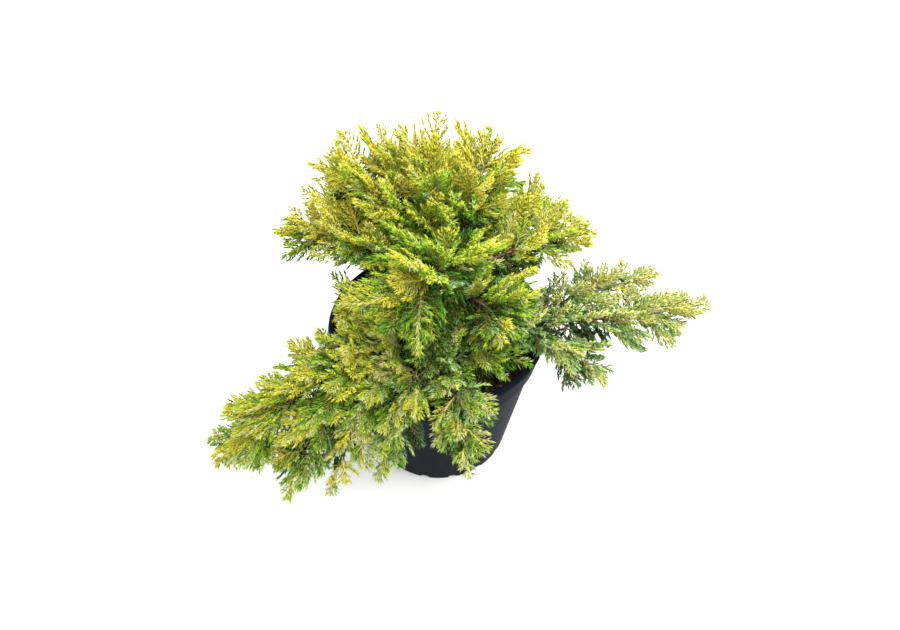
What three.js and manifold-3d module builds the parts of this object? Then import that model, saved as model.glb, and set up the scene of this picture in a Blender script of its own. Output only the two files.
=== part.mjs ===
// A golden pfitzer juniper in a round plastic nursery pot, in millimetres, +Z up.
// The origin is the middle of the pot's flat underside, and +Y points away from the plant's front.
// A short trunk stands on the potting soil. Boughs leave it or fork from each other, arch outwards
// and end where a mass of foliage begins. Each mass is a stem that goes on along the bough's own
// curve, with twigs set round it and toothed sprays of needles set along the twigs.
import * as THREE from "three";
import { mergeVertices } from "three/addons/utils/BufferGeometryUtils.js";
import Module from "manifold-3d";

const wasm = await Module();
wasm.setup();

const CLEAR = 0.3; // the gap between two pieces that meet
const WELD = 1e-4; // vertices nearer than this are one
const FINEST = 0.03; // detail finer than this is smoothed away where pieces are joined

const POT = {
  height: 213,
  rimRadius: 130, // outer, at the rolled lip
  footRadius: 93,
  shoulderRadius: 119.5, // outer, just under the collar
  wall: 2.2,
  floor: 3,
  collarHeight: 34,
  collarStep: 5, // how far the collar stands proud of the wall
  collarFlare: 1.4, // how much wider the collar is under the lip than at its foot
  collarRoom: 3, // how far from the collar foliage stays under it
  lipHeight: 6,
  lipChamfer: 1.2,
  chamfer: 3,
  notches: 16,
  notchWidth: 9,
  notchHeight: 4,
  sides: 36,
};

const SOIL = {
  edge: 183, // its level against the pot's wall
  middle: 188, // its level round the trunk's foot
  flat: 24, // radius of the level middle
};

const TRUNK = {
  height: 116,
  leanX: 7,
  leanY: 10,
  footRadius: 11.5,
  topRadius: 6,
  flare: 0.5, // how much wider the foot is, as a share of its radius
  flareHeight: 14,
  lobes: 5,
  sides: 10,
  steps: 8,
};

const SOIL_TOP = SOIL.middle + CLEAR; // the height of the trunk's flat cut
const DEGREE = Math.PI / 180;
const GOLDEN_ANGLE = 137.5 * DEGREE;

// The boughs. Each leaves "from" at the share "at" of its length and reaches the tip that azimuth,
// reach and height give, as seen from the pot's axis and the soil. The middle point of its curve
// stands "arch" above the straight line to the tip and "bend" to its left. The share "bare" of it
// is bough, and the rest is the stem of its foliage, whose twigs are up to "spread" long.
const BOUGH_COLUMNS = [
  ...["name", "from", "at", "azimuth", "reach", "height"],
  ...["arch", "bend", "bare", "spread", "radius"],
];
const BOUGH_ROWS = [
  ["left_long", "trunk", 0.22, 210, 278, -56, 104, 40, 0.38, 64, 4.4],
  ["left_middle", "left_long", 0.26, 227, 234, -54, 84, 10, 0.24, 56, 3.2],
  ["left_back", "left_long", 0.34, 204, 208, -14, 44, 0, 0.24, 42, 3],
  ["front_low", "trunk", 0.14, 281, 174, -10, 108, -10, 0.42, 44, 3.6],
  ["front_left", "front_low", 0.34, 250, 166, -30, 80, 0, 0.2, 58, 2.8],
  ["left_front", "front_low", 0.2, 236, 200, -50, 100, 0, 0.3, 62, 3.2],
  ["right_long", "trunk", 0.18, 1, 308, 44, 18, -40, 0.34, 50, 4.4],
  ["right_back", "right_long", 0.28, 9, 252, 56, 12, 0, 0.2, 40, 2.8],
  ["right_low", "right_long", 0.22, 342, 194, 2, 34, 0, 0.26, 46, 2.8],
  ["right_upper", "trunk", 0.66, 12, 168, 128, 26, 0, 0.34, 46, 3.4],
  ["top_right", "trunk", 0.82, 55, 108, 202, 14, 0, 0.26, 62, 3.2],
  ["top_middle", "trunk", 0.97, 97, 92, 192, 22, 0, 0.22, 64, 3.6],
  ["top_left", "trunk", 0.89, 140, 136, 174, 30, 0, 0.26, 58, 3.4],
  ["top_back", "top_middle", 0.12, 123, 118, 180, 18, 0, 0.24, 58, 2.8],
  ["left_upper", "trunk", 0.58, 162, 166, 133, 32, 0, 0.32, 54, 3.4],
  ["front_crown", "trunk", 0.75, 250, 120, 146, 96, 54, 0.26, 68, 3.2],
  ["front_right", "trunk", 0.46, 308, 112, 110, 50, 0, 0.28, 64, 2.8],
  ["back_middle", "trunk", 0.5, 86, 212, 98, 58, 0, 0.36, 74, 3.6],
  ["back_left", "trunk", 0.38, 128, 214, 72, 58, 0, 0.38, 72, 3.4],
  ["back_right", "trunk", 0.34, 44, 198, 80, 58, 0, 0.38, 62, 3.4],
  ["foot_left", "trunk", 0.1, 188, 102, 62, 26, 0, 0.24, 56, 2.4],
  ["foot_front", "trunk", 0.07, 304, 104, 56, 30, 0, 0.24, 58, 2.4],
  ["foot_back", "trunk", 0.12, 64, 102, 62, 26, 0, 0.24, 54, 2.4],
];
const BOUGHS = BOUGH_ROWS.map((row) => {
  return Object.fromEntries(BOUGH_COLUMNS.map((column, i) => [column, row[i]]));
});

const LIMB = {
  tipShare: 0.3, // a limb's radius at its tip, as a share of that at its root
  sides: 5,
  boughSteps: 4,
  stemSides: 4,
  stemSteps: 4,
  lastShare: 0.9, // where the stem ends and its tip spray takes over
  clear: 0.36, // how much wider the hollow is that a limb cuts into one that leaves it
};

const TWIG = {
  spacing: 11.5, // along the stem
  firstAt: 0.02,
  lastAt: 0.84,
  open: [68, 34], // degrees between a twig and the stem, at the stem's root and at its tip
  wander: 9,
  rolls: [0, 180, 90, -90], // degrees to turn a twig round the stem until it fits
  droop: 0.12, // how far its tip hangs, as a share of its length
  tilt: 0.9, // radians, the most that a twig's flat sprays turn about it
  start: 0.3, // how far from the middle of the stem it begins
  sunk: 0.5, // how far a side spray's root lies behind the middle of the twig
  twist: 16, // degrees that a side spray turns about its own length, out of the twig's plane
};

// A twig and the spray at its end are one toothed blade on a narrow stalk. The rim runs from the
// root to the tip, in shares of the length and of the half width.
const TWIG_BLADE = {
  halfWidth: 0.21, // as a share of its length
  thickness: 2.6,
  thickest: 0.55, // where along its length
  rim: [
    [0, 0.1],
    [0.36, 0.1],
    [0.5, 0.84],
    [0.59, 0.34],
    [0.79, 0.8],
  ],
};

// The smaller sprays on a twig's sides.
const SIDE_BLADE = {
  halfWidth: 0.28,
  thickness: 1.8,
  thickest: 0.45,
  rim: [
    [0.42, 1],
    [0.47, 0.38],
    [0.75, 0.72],
  ],
};

// Some of the twigs fork: a smaller spray leaves them at one side.
const FORK = {
  every: 3, // twigs
  at: 0.24, // along the twig
  turn: 46, // degrees
  share: 0.58, // its length as a share of the twig's
};

const SIZES = [1, 0.8, 0.64]; // the first size of a spray that fits is taken
const SPACE_MARGIN = 1.2; // how much nearer to its own stem than to another a point must be
const LIMB_MARGIN = 0.6; // the least gap to a limb
const POT_MARGIN = 1.5; // the least gap to the pot and the soil

const COLOURS = {
  pot: 0x23262c,
  soil: 0x2d2018,
  bark: 0x6e4a35,
  gold: 0xc9c93a,
  lime: 0x9fb043,
  green: 0x5f7d3c,
};

const UP = new THREE.Vector3(0, 0, 1);

// A repeatable random number from 0 to 1 for three whole numbers.
function chance(a, b, c) {
  let h = Math.imul(a + 1, 0x9e3779b1) ^ Math.imul(b + 1, 0x85ebca6b) ^ Math.imul(c + 1, 0xc2b2ae35);
  h = Math.imul(h ^ (h >>> 15), 0x2c1b3c6d);
  h = Math.imul(h ^ (h >>> 12), 0x297a2d39);
  return ((h ^ (h >>> 15)) >>> 0) / 4294967296;
}

// The same from -1 to 1.
function spreadChance(a, b, c) {
  return 2 * chance(a, b, c) - 1;
}

function toSolid(geometry) {
  const bare = geometry.index ? geometry.toNonIndexed() : geometry.clone();
  bare.deleteAttribute("normal");
  bare.deleteAttribute("uv");
  const merged = mergeVertices(bare, WELD);
  return new wasm.Manifold(
    new wasm.Mesh({
      numProp: 3,
      vertProperties: new Float32Array(merged.getAttribute("position").array),
      triVerts: new Uint32Array(merged.index.array),
    }),
  );
}

function toGeometry(solid) {
  const mesh = solid.getMesh();
  const points = new Float32Array(mesh.numVert * 3);
  for (let i = 0; i < mesh.numVert; i++) {
    const at = i * mesh.numProp;
    points.set(mesh.vertProperties.subarray(at, at + 3), i * 3);
  }
  const geometry = new THREE.BufferGeometry();
  geometry.setAttribute("position", new THREE.BufferAttribute(points, 3));
  geometry.setIndex(new THREE.BufferAttribute(new Uint32Array(mesh.triVerts), 1));
  geometry.computeVertexNormals();
  return geometry;
}

// The largest of a solid's separate bodies: a scrap that hangs loose is dropped.
function mainBody(solid) {
  const bodies = solid.decompose();
  return bodies.reduce((a, b) => (b.volume() > a.volume() ? b : a));
}

// A direction across a heading that lies level, and one square to both that points upwards.
function acrossAndUp(heading) {
  const across = new THREE.Vector3().crossVectors(heading, UP).normalize();
  return { across, up: new THREE.Vector3().crossVectors(across, heading) };
}

// A round bar carried onto a curve, its rings square to the curve and of the radius that radiusAt
// gives for the share along it and the angle round it.
function bar(curve, from, to, radiusAt, sides, steps) {
  const geometry = new THREE.CylinderGeometry(1, 1, 1, sides, steps);
  const points = geometry.getAttribute("position");
  for (let i = 0; i < points.count; i++) {
    const along = points.getY(i) + 0.5;
    const share = from + (to - from) * along;
    const place = curve.getPoint(share);
    const { across, up } = acrossAndUp(curve.getTangent(share));
    const radius = radiusAt(along, Math.atan2(points.getZ(i), points.getX(i)));
    place.addScaledVector(across, points.getX(i) * radius);
    place.addScaledVector(up, points.getZ(i) * radius);
    points.setXYZ(i, place.x, place.y, place.z);
  }
  return geometry;
}

// The pot's outer and inner radius at a height.
function potOuter(z) {
  const shoulder = POT.height - POT.collarHeight;
  return THREE.MathUtils.mapLinear(z, 0, shoulder, POT.footRadius, POT.shoulderRadius);
}

function potInner(z) {
  return potOuter(Math.min(z, POT.height - POT.collarHeight)) - POT.wall;
}

// A closed profile of [radius, height] pairs turned round +Z.
function turned(profile, sides) {
  const points = profile.map(([radius, height]) => new THREE.Vector2(radius, height));
  return new THREE.LatheGeometry(points, sides).rotateX(Math.PI / 2);
}

function potSolid() {
  const shoulder = POT.height - POT.collarHeight;
  const collar = POT.shoulderRadius + POT.collarStep;
  const lip = POT.height - POT.lipHeight;
  const profile = [
    [0, 0],
    [POT.footRadius - POT.chamfer, 0],
    [potOuter(POT.chamfer), POT.chamfer],
    [POT.shoulderRadius, shoulder - POT.collarStep],
    [collar, shoulder],
    [collar + POT.collarFlare, lip],
    [POT.rimRadius, lip + POT.lipChamfer],
    [POT.rimRadius, POT.height - POT.lipChamfer],
    [POT.rimRadius - POT.lipChamfer, POT.height],
    [collar - POT.wall, POT.height],
    [potInner(shoulder), shoulder],
    [potInner(POT.floor), POT.floor],
    [0, POT.floor],
  ];
  let pot = toSolid(turned(profile, POT.sides));
  for (let i = 0; i < POT.notches; i++) {
    const notch = new THREE.BoxGeometry(POT.chamfer * 4, POT.notchWidth, POT.notchHeight * 2);
    notch.translate(POT.footRadius, 0, 0).rotateZ(((i + 0.5) / POT.notches) * 2 * Math.PI);
    pot = pot.subtract(toSolid(notch));
  }
  return pot;
}

function soilSolid() {
  const bottom = POT.floor + CLEAR;
  const beside = (z) => potInner(z) - CLEAR;
  const profile = [
    [0, bottom],
    [beside(bottom), bottom],
    [beside(POT.height - POT.collarHeight), POT.height - POT.collarHeight],
    [beside(SOIL.edge), SOIL.edge],
    [(SOIL.flat + beside(SOIL.edge)) / 2, SOIL.edge + 1.5],
    [SOIL.flat, SOIL.middle],
    [0, SOIL.middle],
  ];
  return toSolid(turned(profile, POT.sides));
}

// All that follows is measured from the middle of the trunk's flat cut.
const trunkCurve = new THREE.QuadraticBezierCurve3(
  new THREE.Vector3(0, 0, 0),
  new THREE.Vector3(0, TRUNK.leanY * 0.2, TRUNK.height * 0.5),
  new THREE.Vector3(TRUNK.leanX, TRUNK.leanY, TRUNK.height),
);

function trunkRadius(along, angle = 0, extra = 0) {
  const flare = TRUNK.flare * Math.exp((-along * TRUNK.height) / TRUNK.flareHeight);
  const lobed = 1 + flare * (0.7 + 0.5 * Math.cos(TRUNK.lobes * angle));
  const round = THREE.MathUtils.lerp(TRUNK.footRadius, TRUNK.topRadius, Math.pow(along, 0.8));
  return round * lobed + extra;
}

// The trunk rises almost straight up, so its rings are kept level.
function trunkSolid(extra = 0) {
  const geometry = new THREE.CylinderGeometry(1, 1, 1, TRUNK.sides, TRUNK.steps);
  geometry.rotateX(Math.PI / 2);
  const points = geometry.getAttribute("position");
  for (let i = 0; i < points.count; i++) {
    const along = points.getZ(i) + 0.5;
    const middle = trunkCurve.getPoint(along);
    const radius = trunkRadius(along, Math.atan2(points.getY(i), points.getX(i)), extra);
    const end = extra * (along > 0.999 ? 1 : 0) - extra * (along < 0.001 ? 1 : 0);
    const x = middle.x + points.getX(i) * radius;
    const y = middle.y + points.getY(i) * radius;
    points.setXYZ(i, x, y, middle.z + end);
  }
  return toSolid(geometry);
}

// The whole curve of a bough and its foliage stem, from the middle of what it leaves to its tip.
function boughCurve(bough, root) {
  const tip = new THREE.Vector3(bough.reach, 0, bough.height);
  tip.applyAxisAngle(UP, bough.azimuth * DEGREE);
  const left = new THREE.Vector3(root.y - tip.y, tip.x - root.x, 0).normalize();
  const middle = root.clone().lerp(tip, 0.5);
  middle.addScaledVector(UP, bough.arch).addScaledVector(left, bough.bend);
  return new THREE.QuadraticBezierCurve3(root, middle, tip);
}

function boughRadius(bough, share) {
  return bough.radius * (1 + (LIMB.tipShare - 1) * share);
}

// Thirteen points from one share of a curve to another.
function pointsAlong(curve, from, to) {
  const steps = 12;
  const shares = Array.from({ length: steps + 1 }, (_, i) => from + ((to - from) * i) / steps);
  return shares.map((share) => curve.getPoint(share));
}

// Each bough with its curve, its stem's share of that curve, and points along both to measure from.
function placeBoughs() {
  const placed = new Map();
  BOUGHS.forEach((bough, index) => {
    const parent = placed.get(bough.from);
    const root = parent ? parent.curve.getPoint(bough.at) : trunkCurve.getPoint(bough.at);
    const curve = boughCurve(bough, root);
    const length = curve.getLength();
    const stemFrom = bough.bare + CLEAR / length;
    const barePoints = pointsAlong(curve, 0, bough.bare);
    const stemPoints = pointsAlong(curve, bough.bare, 1);
    placed.set(bough.name, { ...bough, index, curve, length, stemFrom, barePoints, stemPoints });
  });
  return [...placed.values()];
}

function distanceToLine(point, line) {
  const segment = new THREE.Line3();
  const nearest = new THREE.Vector3();
  let best = Infinity;
  for (let i = 0; i + 1 < line.length; i++) {
    segment.set(line[i], line[i + 1]).closestPointToPoint(point, true, nearest);
    best = Math.min(best, nearest.distanceTo(point));
  }
  return best;
}

// Whether a point is clear of the pot's wall and above the soil.
function clearOfPot(point) {
  const z = point.z + SOIL_TOP;
  const radius = Math.hypot(point.x, point.y);
  const outside = potOuter(Math.min(z, POT.height)) + POT.collarStep + POT.collarRoom;
  if (z < POT_MARGIN || radius > POT.rimRadius + POT_MARGIN) return z >= POT_MARGIN;
  if (z > POT.height + POT_MARGIN) return true;
  if (radius > outside) return z < POT.height - POT.collarHeight - POT_MARGIN;
  return radius < potInner(z) - POT_MARGIN && z > SOIL.middle + POT_MARGIN;
}

// Whether a point belongs to a bough's own foliage: nearer to its stem than to any other stem,
// and clear of every limb, the trunk and the pot.
function inOwnSpace(point, own, boughs, thickness) {
  if (!clearOfPot(point)) return false;
  const mine = distanceToLine(point, own.stemPoints) + SPACE_MARGIN + thickness;
  for (const other of boughs) {
    if (other !== own && distanceToLine(point, other.stemPoints) < mine) return false;
    if (distanceToLine(point, other.barePoints) < other.radius + LIMB_MARGIN + thickness) return false;
  }
  const along = THREE.MathUtils.clamp(point.z / TRUNK.height, 0, 1);
  const trunk = trunkCurve.getPoint(along);
  return point.distanceTo(trunk) > trunkRadius(along, 0) + LIMB_MARGIN + thickness;
}

// How long the twigs are along a stem: longest before its middle and shortest at its tip.
function plumeProfile(share) {
  return Math.sqrt(Math.sin(Math.PI * (0.18 + 0.72 * share)));
}

function twigCount(bough) {
  return Math.round((bough.length * (1 - bough.stemFrom)) / TWIG.spacing);
}

// Twig number k of a bough's foliage, and turned rolls it round the stem.
function twigOf(bough, k, turned) {
  const share = THREE.MathUtils.lerp(TWIG.firstAt, TWIG.lastAt, (k + 0.5) / twigCount(bough));
  const at = THREE.MathUtils.lerp(bough.stemFrom, 1, share);
  const stem = bough.curve.getTangent(at);
  const { across, up } = acrossAndUp(stem);
  const roll = k * GOLDEN_ANGLE + spreadChance(bough.index, k, 1) * 0.4 + turned * DEGREE;
  const wander = TWIG.wander * spreadChance(bough.index, k, 2);
  const open = (THREE.MathUtils.lerp(...TWIG.open, share) + wander) * DEGREE;
  const aside = across.multiplyScalar(Math.cos(roll)).addScaledVector(up, Math.sin(roll));
  const heading = stem.multiplyScalar(Math.cos(open)).addScaledVector(aside, Math.sin(open));
  heading.addScaledVector(UP, -TWIG.droop).normalize();
  const tilt = TWIG.tilt * spreadChance(bough.index, k, 4);
  return {
    root: bough.curve.getPoint(at).addScaledVector(heading, TWIG.start),
    heading,
    across: acrossAndUp(heading).across.applyAxisAngle(heading, tilt),
    length: bough.spread * plumeProfile(share) * (0.86 + 0.28 * chance(bough.index, k, 3)),
  };
}

// The side spray of a twig that forks, which lies nearly in its plane.
function forkOf(bough, k, twig) {
  const flatwise = new THREE.Vector3().crossVectors(twig.across, twig.heading);
  const turn = FORK.turn * (k % 2 ? -1 : 1) * DEGREE;
  const heading = twig.heading.clone().applyAxisAngle(flatwise, turn);
  const across = twig.across.clone().applyAxisAngle(flatwise, turn);
  const root = twig.root.clone().addScaledVector(twig.heading, FORK.at * twig.length);
  return {
    root: root.addScaledVector(heading, -TWIG.sunk),
    heading,
    across: across.applyAxisAngle(heading, TWIG.twist * DEGREE),
    length: FORK.share * twig.length * (0.92 + 0.16 * chance(bough.index, k, 5)),
  };
}

// The rim of a blade, from its root round by its tip, as places along it and aside.
function bladeRim(blade, length) {
  const left = blade.rim.map(([along, aside]) => [along * length, aside * blade.halfWidth * length]);
  const right = left.map(([along, aside]) => [along, -aside]).reverse();
  const root = blade.rim[0][0] > 0 ? [[0, 0]] : [];
  return [...root, ...left, [length, 0], ...right];
}

// A toothed blade: a flat double pyramid on the outline of a twig's or a spray's rim.
function bladeGeometry(blade, { root, heading, across, length }) {
  const rim = bladeRim(blade, length);
  const columns = rim.length + 1;
  const geometry = new THREE.SphereGeometry(1, rim.length, 2);
  const points = geometry.getAttribute("position");
  const flatwise = new THREE.Vector3().crossVectors(across, heading);
  for (let i = 0; i < points.count; i++) {
    const face = 1 - Math.floor(i / columns); // 1 on the top, 0 on the rim, -1 underneath
    const [along, aside] = face ? [length * blade.thickest, 0] : rim[(i % columns) % rim.length];
    const place = root.clone().addScaledVector(heading, along).addScaledVector(across, aside);
    place.addScaledVector(flatwise, (face * blade.thickness) / 2);
    points.setXYZ(i, place.x, place.y, place.z);
  }
  return geometry;
}

// Points on a blade, past its root, that must all lie in its mass's own space.
function bladePoints(blade, { root, heading, across, length }) {
  const rim = bladeRim(blade, length).filter(([along]) => along > 0.1 * length);
  const middle = [0.15, 0.25, 0.4, 0.6, 0.8].map((share) => [share * length, 0]);
  return [...rim, ...middle].map(([along, aside]) =>
    root.clone().addScaledVector(heading, along).addScaledVector(across, aside),
  );
}

function foliageSolid(bough, boughs) {
  const { curve, stemFrom } = bough;
  const fits = (blade, choice) => {
    const thickness = blade.thickness / 2;
    return bladePoints(blade, choice).every((point) => inOwnSpace(point, bough, boughs, thickness));
  };
  const stemRadius = (along) => boughRadius(bough, stemFrom + (LIMB.lastShare - stemFrom) * along);
  const stem = bar(curve, stemFrom, LIMB.lastShare, stemRadius, LIMB.stemSides, LIMB.stemSteps);
  let mass = toSolid(stem);
  const addFitting = (blade, choices) => {
    const chosen = choices.find((choice) => fits(blade, choice));
    if (chosen) mass = mass.add(toSolid(bladeGeometry(blade, chosen)));
    return chosen;
  };
  const inSizes = (full) => SIZES.map((size) => ({ ...full, length: full.length * size }));
  for (let k = 0; k < twigCount(bough); k++) {
    const choices = SIZES.flatMap((size) =>
      TWIG.rolls.map((turned) => {
        const twig = twigOf(bough, k, turned);
        return { ...twig, length: twig.length * size };
      }),
    );
    const twig = addFitting(TWIG_BLADE, choices);
    if (twig && k % FORK.every === 0) addFitting(SIDE_BLADE, inSizes(forkOf(bough, k, twig)));
  }
  const root = curve.getPoint(LIMB.lastShare - 0.02);
  const tip = curve.getPoint(1);
  const heading = tip.clone().sub(root).normalize();
  const end = { root, heading, across: acrossAndUp(heading).across, length: tip.distanceTo(root) };
  return mainBody(mass.add(toSolid(bladeGeometry(SIDE_BLADE, end))).simplify(FINEST));
}

// A bough, cut clear of the limb that it leaves.
function boughSolid(bough, boughs) {
  const radiusAt = (along) => boughRadius(bough, bough.bare * along);
  const limb = toSolid(bar(bough.curve, 0, bough.bare, radiusAt, LIMB.sides, LIMB.boughSteps));
  const parent = boughs.find((other) => other.name === bough.from);
  if (!parent) return mainBody(limb.subtract(trunkSolid(CLEAR)));
  const grownRadius = (along) => boughRadius(parent, parent.bare * along) + LIMB.clear;
  const grown = bar(parent.curve, 0, parent.bare, grownRadius, LIMB.sides, LIMB.boughSteps);
  return mainBody(limb.subtract(toSolid(grown)));
}

function finish(colour, roughness) {
  return new THREE.MeshStandardMaterial({ color: colour, roughness, metalness: 0 });
}

function piece(name, solid, material) {
  const mesh = new THREE.Mesh(toGeometry(solid), material);
  mesh.name = name;
  return mesh;
}

const barkFinish = finish(COLOURS.bark, 0.85);
const foliageFinishes = {
  top: finish(COLOURS.gold, 0.6),
  foot: finish(COLOURS.green, 0.7),
  other: finish(COLOURS.lime, 0.65),
};

const container = new THREE.Group();
container.add(piece("pot", potSolid(), finish(COLOURS.pot, 0.55)));
container.add(piece("potting_soil", soilSolid(), finish(COLOURS.soil, 0.95)));

const plant = new THREE.Group();
plant.position.z = SOIL_TOP;
plant.add(piece("trunk", trunkSolid(), barkFinish));
const boughs = placeBoughs();
for (const bough of boughs) {
  const zone = bough.name.split("_")[0];
  const foliageFinish = foliageFinishes[zone] ?? foliageFinishes.other;
  plant.add(piece("bough_" + bough.name, boughSolid(bough, boughs), barkFinish));
  plant.add(piece("foliage_" + bough.name, foliageSolid(bough, boughs), foliageFinish));
}

const juniper = new THREE.Group();
juniper.add(container, plant);

export default juniper;
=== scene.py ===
# A golden pfitzer juniper in a round plastic nursery pot, dressed over its frame.
# The boughs, twigs and forked sprays grow by the same seeded rule as the plant's solids. The rule
# then goes on to finer shoots and to needles, and each mass of foliage keeps to its own space.
# Growth is worked out in millimetres from the middle of the trunk's flat cut, and every finished
# mesh is in metres in the frame's own coordinates.
import functools
import math
from dataclasses import dataclass, fields

import bmesh
import bpy
import numpy as np
from bpy.props import FloatProperty, FloatVectorProperty, IntProperty, PointerProperty
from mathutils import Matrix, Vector, noise


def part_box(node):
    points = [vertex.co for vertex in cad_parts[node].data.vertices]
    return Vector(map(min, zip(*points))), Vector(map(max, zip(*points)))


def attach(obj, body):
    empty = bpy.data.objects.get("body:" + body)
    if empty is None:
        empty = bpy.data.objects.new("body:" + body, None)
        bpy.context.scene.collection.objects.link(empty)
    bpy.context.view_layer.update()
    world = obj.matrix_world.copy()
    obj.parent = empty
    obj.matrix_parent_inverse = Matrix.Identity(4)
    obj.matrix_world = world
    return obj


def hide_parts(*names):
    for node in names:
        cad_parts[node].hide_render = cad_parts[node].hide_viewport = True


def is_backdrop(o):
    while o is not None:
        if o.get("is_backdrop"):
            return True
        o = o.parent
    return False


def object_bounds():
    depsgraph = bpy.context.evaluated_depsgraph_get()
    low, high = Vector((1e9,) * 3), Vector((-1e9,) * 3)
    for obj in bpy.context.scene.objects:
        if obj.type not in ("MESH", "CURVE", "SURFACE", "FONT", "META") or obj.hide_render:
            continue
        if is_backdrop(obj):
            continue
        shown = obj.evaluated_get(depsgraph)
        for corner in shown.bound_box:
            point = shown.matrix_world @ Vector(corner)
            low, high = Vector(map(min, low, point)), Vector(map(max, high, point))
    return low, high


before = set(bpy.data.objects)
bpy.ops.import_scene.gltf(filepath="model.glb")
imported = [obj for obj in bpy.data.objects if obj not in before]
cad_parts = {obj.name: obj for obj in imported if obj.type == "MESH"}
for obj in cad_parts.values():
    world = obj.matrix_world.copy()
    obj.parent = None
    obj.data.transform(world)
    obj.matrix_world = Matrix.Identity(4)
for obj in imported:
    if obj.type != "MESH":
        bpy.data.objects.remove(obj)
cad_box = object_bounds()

bl_info = {
    "name": "Potted golden pfitzer juniper",
    "version": (1, 0, 0),
    "blender": (4, 5, 0),
    "location": "View3D > Sidebar > Juniper",
    "description": "Dresses the frame of a spreading juniper in its nursery pot",
    "category": "Add Mesh",
}

MM = 0.001
SEED = 7
UP = np.array([0.0, 0.0, 1.0])
GOLDEN_ANGLE = math.radians(137.5)

# The pot, in millimetres.
POT_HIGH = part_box("pot")[1]
POT_HEIGHT = POT_HIGH.z / MM
POT_RIM_RADIUS = POT_HIGH.x / MM
POT_FOOT_RADIUS = 93.0
POT_SHOULDER_RADIUS = 119.5
POT_WALL = 2.2
POT_FLOOR = 3.0
POT_COLLAR_HEIGHT = 34.0
POT_COLLAR_STEP = 5.0
POT_LIP_HEIGHT = 6.0
POT_SHOULDER_HEIGHT = POT_HEIGHT - POT_COLLAR_HEIGHT

# The soil, in millimetres, and the height of the trunk's flat cut.
SOIL_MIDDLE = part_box("potting_soil")[1].z / MM
SOIL_EDGE = 183.0
SOIL_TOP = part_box("trunk")[0].z / MM
SOIL_GAP = 0.3

# The trunk, in millimetres and as shares of its radius.
TRUNK_HEIGHT = 116.0
TRUNK_LEAN = (7.0, 10.0)
TRUNK_BOW = 0.2  # the share of its lean towards the back that its middle has
TRUNK_RADII = (11.5, 6.0)
TRUNK_TAPER = 0.8
TRUNK_FLARE = 0.5
TRUNK_FLARE_HEIGHT = 14.0
TRUNK_LOBES = 5
TRUNK_LOBING = (0.7, 0.5)  # the shares of the flare that go all round and into the lobes
TIP_SHARE = 0.3
CURVE_PIECES = 200

# Each bough: its name, what it leaves and at which share of that, the azimuth, reach and height of
# its tip, how far its middle stands above and to the left of a straight line, the share of it that
# is bare, the length of its longest twig, and its radius.
BOUGHS = (
    ("left_long", "trunk", 0.22, 210, 278, -56, 104, 40, 0.38, 64, 4.4),
    ("left_middle", "left_long", 0.26, 227, 234, -54, 84, 10, 0.24, 56, 3.2),
    ("left_back", "left_long", 0.34, 204, 208, -14, 44, 0, 0.24, 42, 3.0),
    ("front_low", "trunk", 0.14, 281, 174, -10, 108, -10, 0.42, 44, 3.6),
    ("front_left", "front_low", 0.34, 250, 166, -30, 80, 0, 0.2, 58, 2.8),
    ("left_front", "front_low", 0.2, 236, 200, -50, 100, 0, 0.3, 62, 3.2),
    ("right_long", "trunk", 0.18, 1, 308, 44, 18, -40, 0.34, 50, 4.4),
    ("right_back", "right_long", 0.28, 9, 252, 56, 12, 0, 0.2, 40, 2.8),
    ("right_low", "right_long", 0.22, 342, 194, 2, 34, 0, 0.26, 46, 2.8),
    ("right_upper", "trunk", 0.66, 12, 168, 128, 26, 0, 0.34, 46, 3.4),
    ("top_right", "trunk", 0.82, 55, 108, 202, 14, 0, 0.26, 62, 3.2),
    ("top_middle", "trunk", 0.97, 97, 92, 192, 22, 0, 0.22, 64, 3.6),
    ("top_left", "trunk", 0.89, 140, 136, 174, 30, 0, 0.26, 58, 3.4),
    ("top_back", "top_middle", 0.12, 123, 118, 180, 18, 0, 0.24, 58, 2.8),
    ("left_upper", "trunk", 0.58, 162, 166, 133, 32, 0, 0.32, 54, 3.4),
    ("front_crown", "trunk", 0.75, 250, 120, 146, 96, 54, 0.26, 68, 3.2),
    ("front_right", "trunk", 0.46, 308, 112, 110, 50, 0, 0.28, 64, 2.8),
    ("back_middle", "trunk", 0.5, 86, 212, 98, 58, 0, 0.36, 74, 3.6),
    ("back_left", "trunk", 0.38, 128, 214, 72, 58, 0, 0.38, 72, 3.4),
    ("back_right", "trunk", 0.34, 44, 198, 80, 58, 0, 0.38, 62, 3.4),
    ("foot_left", "trunk", 0.1, 188, 102, 62, 26, 0, 0.24, 56, 2.4),
    ("foot_front", "trunk", 0.07, 304, 104, 56, 30, 0, 0.24, 58, 2.4),
    ("foot_back", "trunk", 0.12, 64, 102, 62, 26, 0, 0.24, 54, 2.4),
)

# The rule for the twigs that the solids have too, in millimetres, degrees and shares of lengths.
TWIG_SPACING = 11.5
TWIG_SPAN = (0.02, 0.84)
TWIG_OPEN = (68.0, 34.0)
TWIG_WANDER = 9.0  # how much wider or less wide open one may be
TWIG_ROLL = 0.4  # radians that one may stray from its place round the stem
TWIG_ROLLS = (0.0, 180.0, 90.0, -90.0)  # the turns tried until one has room
TWIG_DROOP = 0.12
TWIG_TILT = 0.9
TWIG_START = 0.3
TWIG_SUNK = 0.5
TWIG_TWIST = 16.0
TWIG_SIZES = (1.0, 0.8, 0.64)
TWIG_VARY = (0.86, 0.28)  # the least that a length is multiplied by, and the most more
FORK_EVERY = 3
FORK_AT = 0.24
FORK_TURN = 46.0
FORK_SHARE = 0.58
FORK_VARY = (0.92, 0.16)
PLUME = (0.18, 0.72)  # where on a sine's arch a stem begins, and how much of the arch it spans

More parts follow.
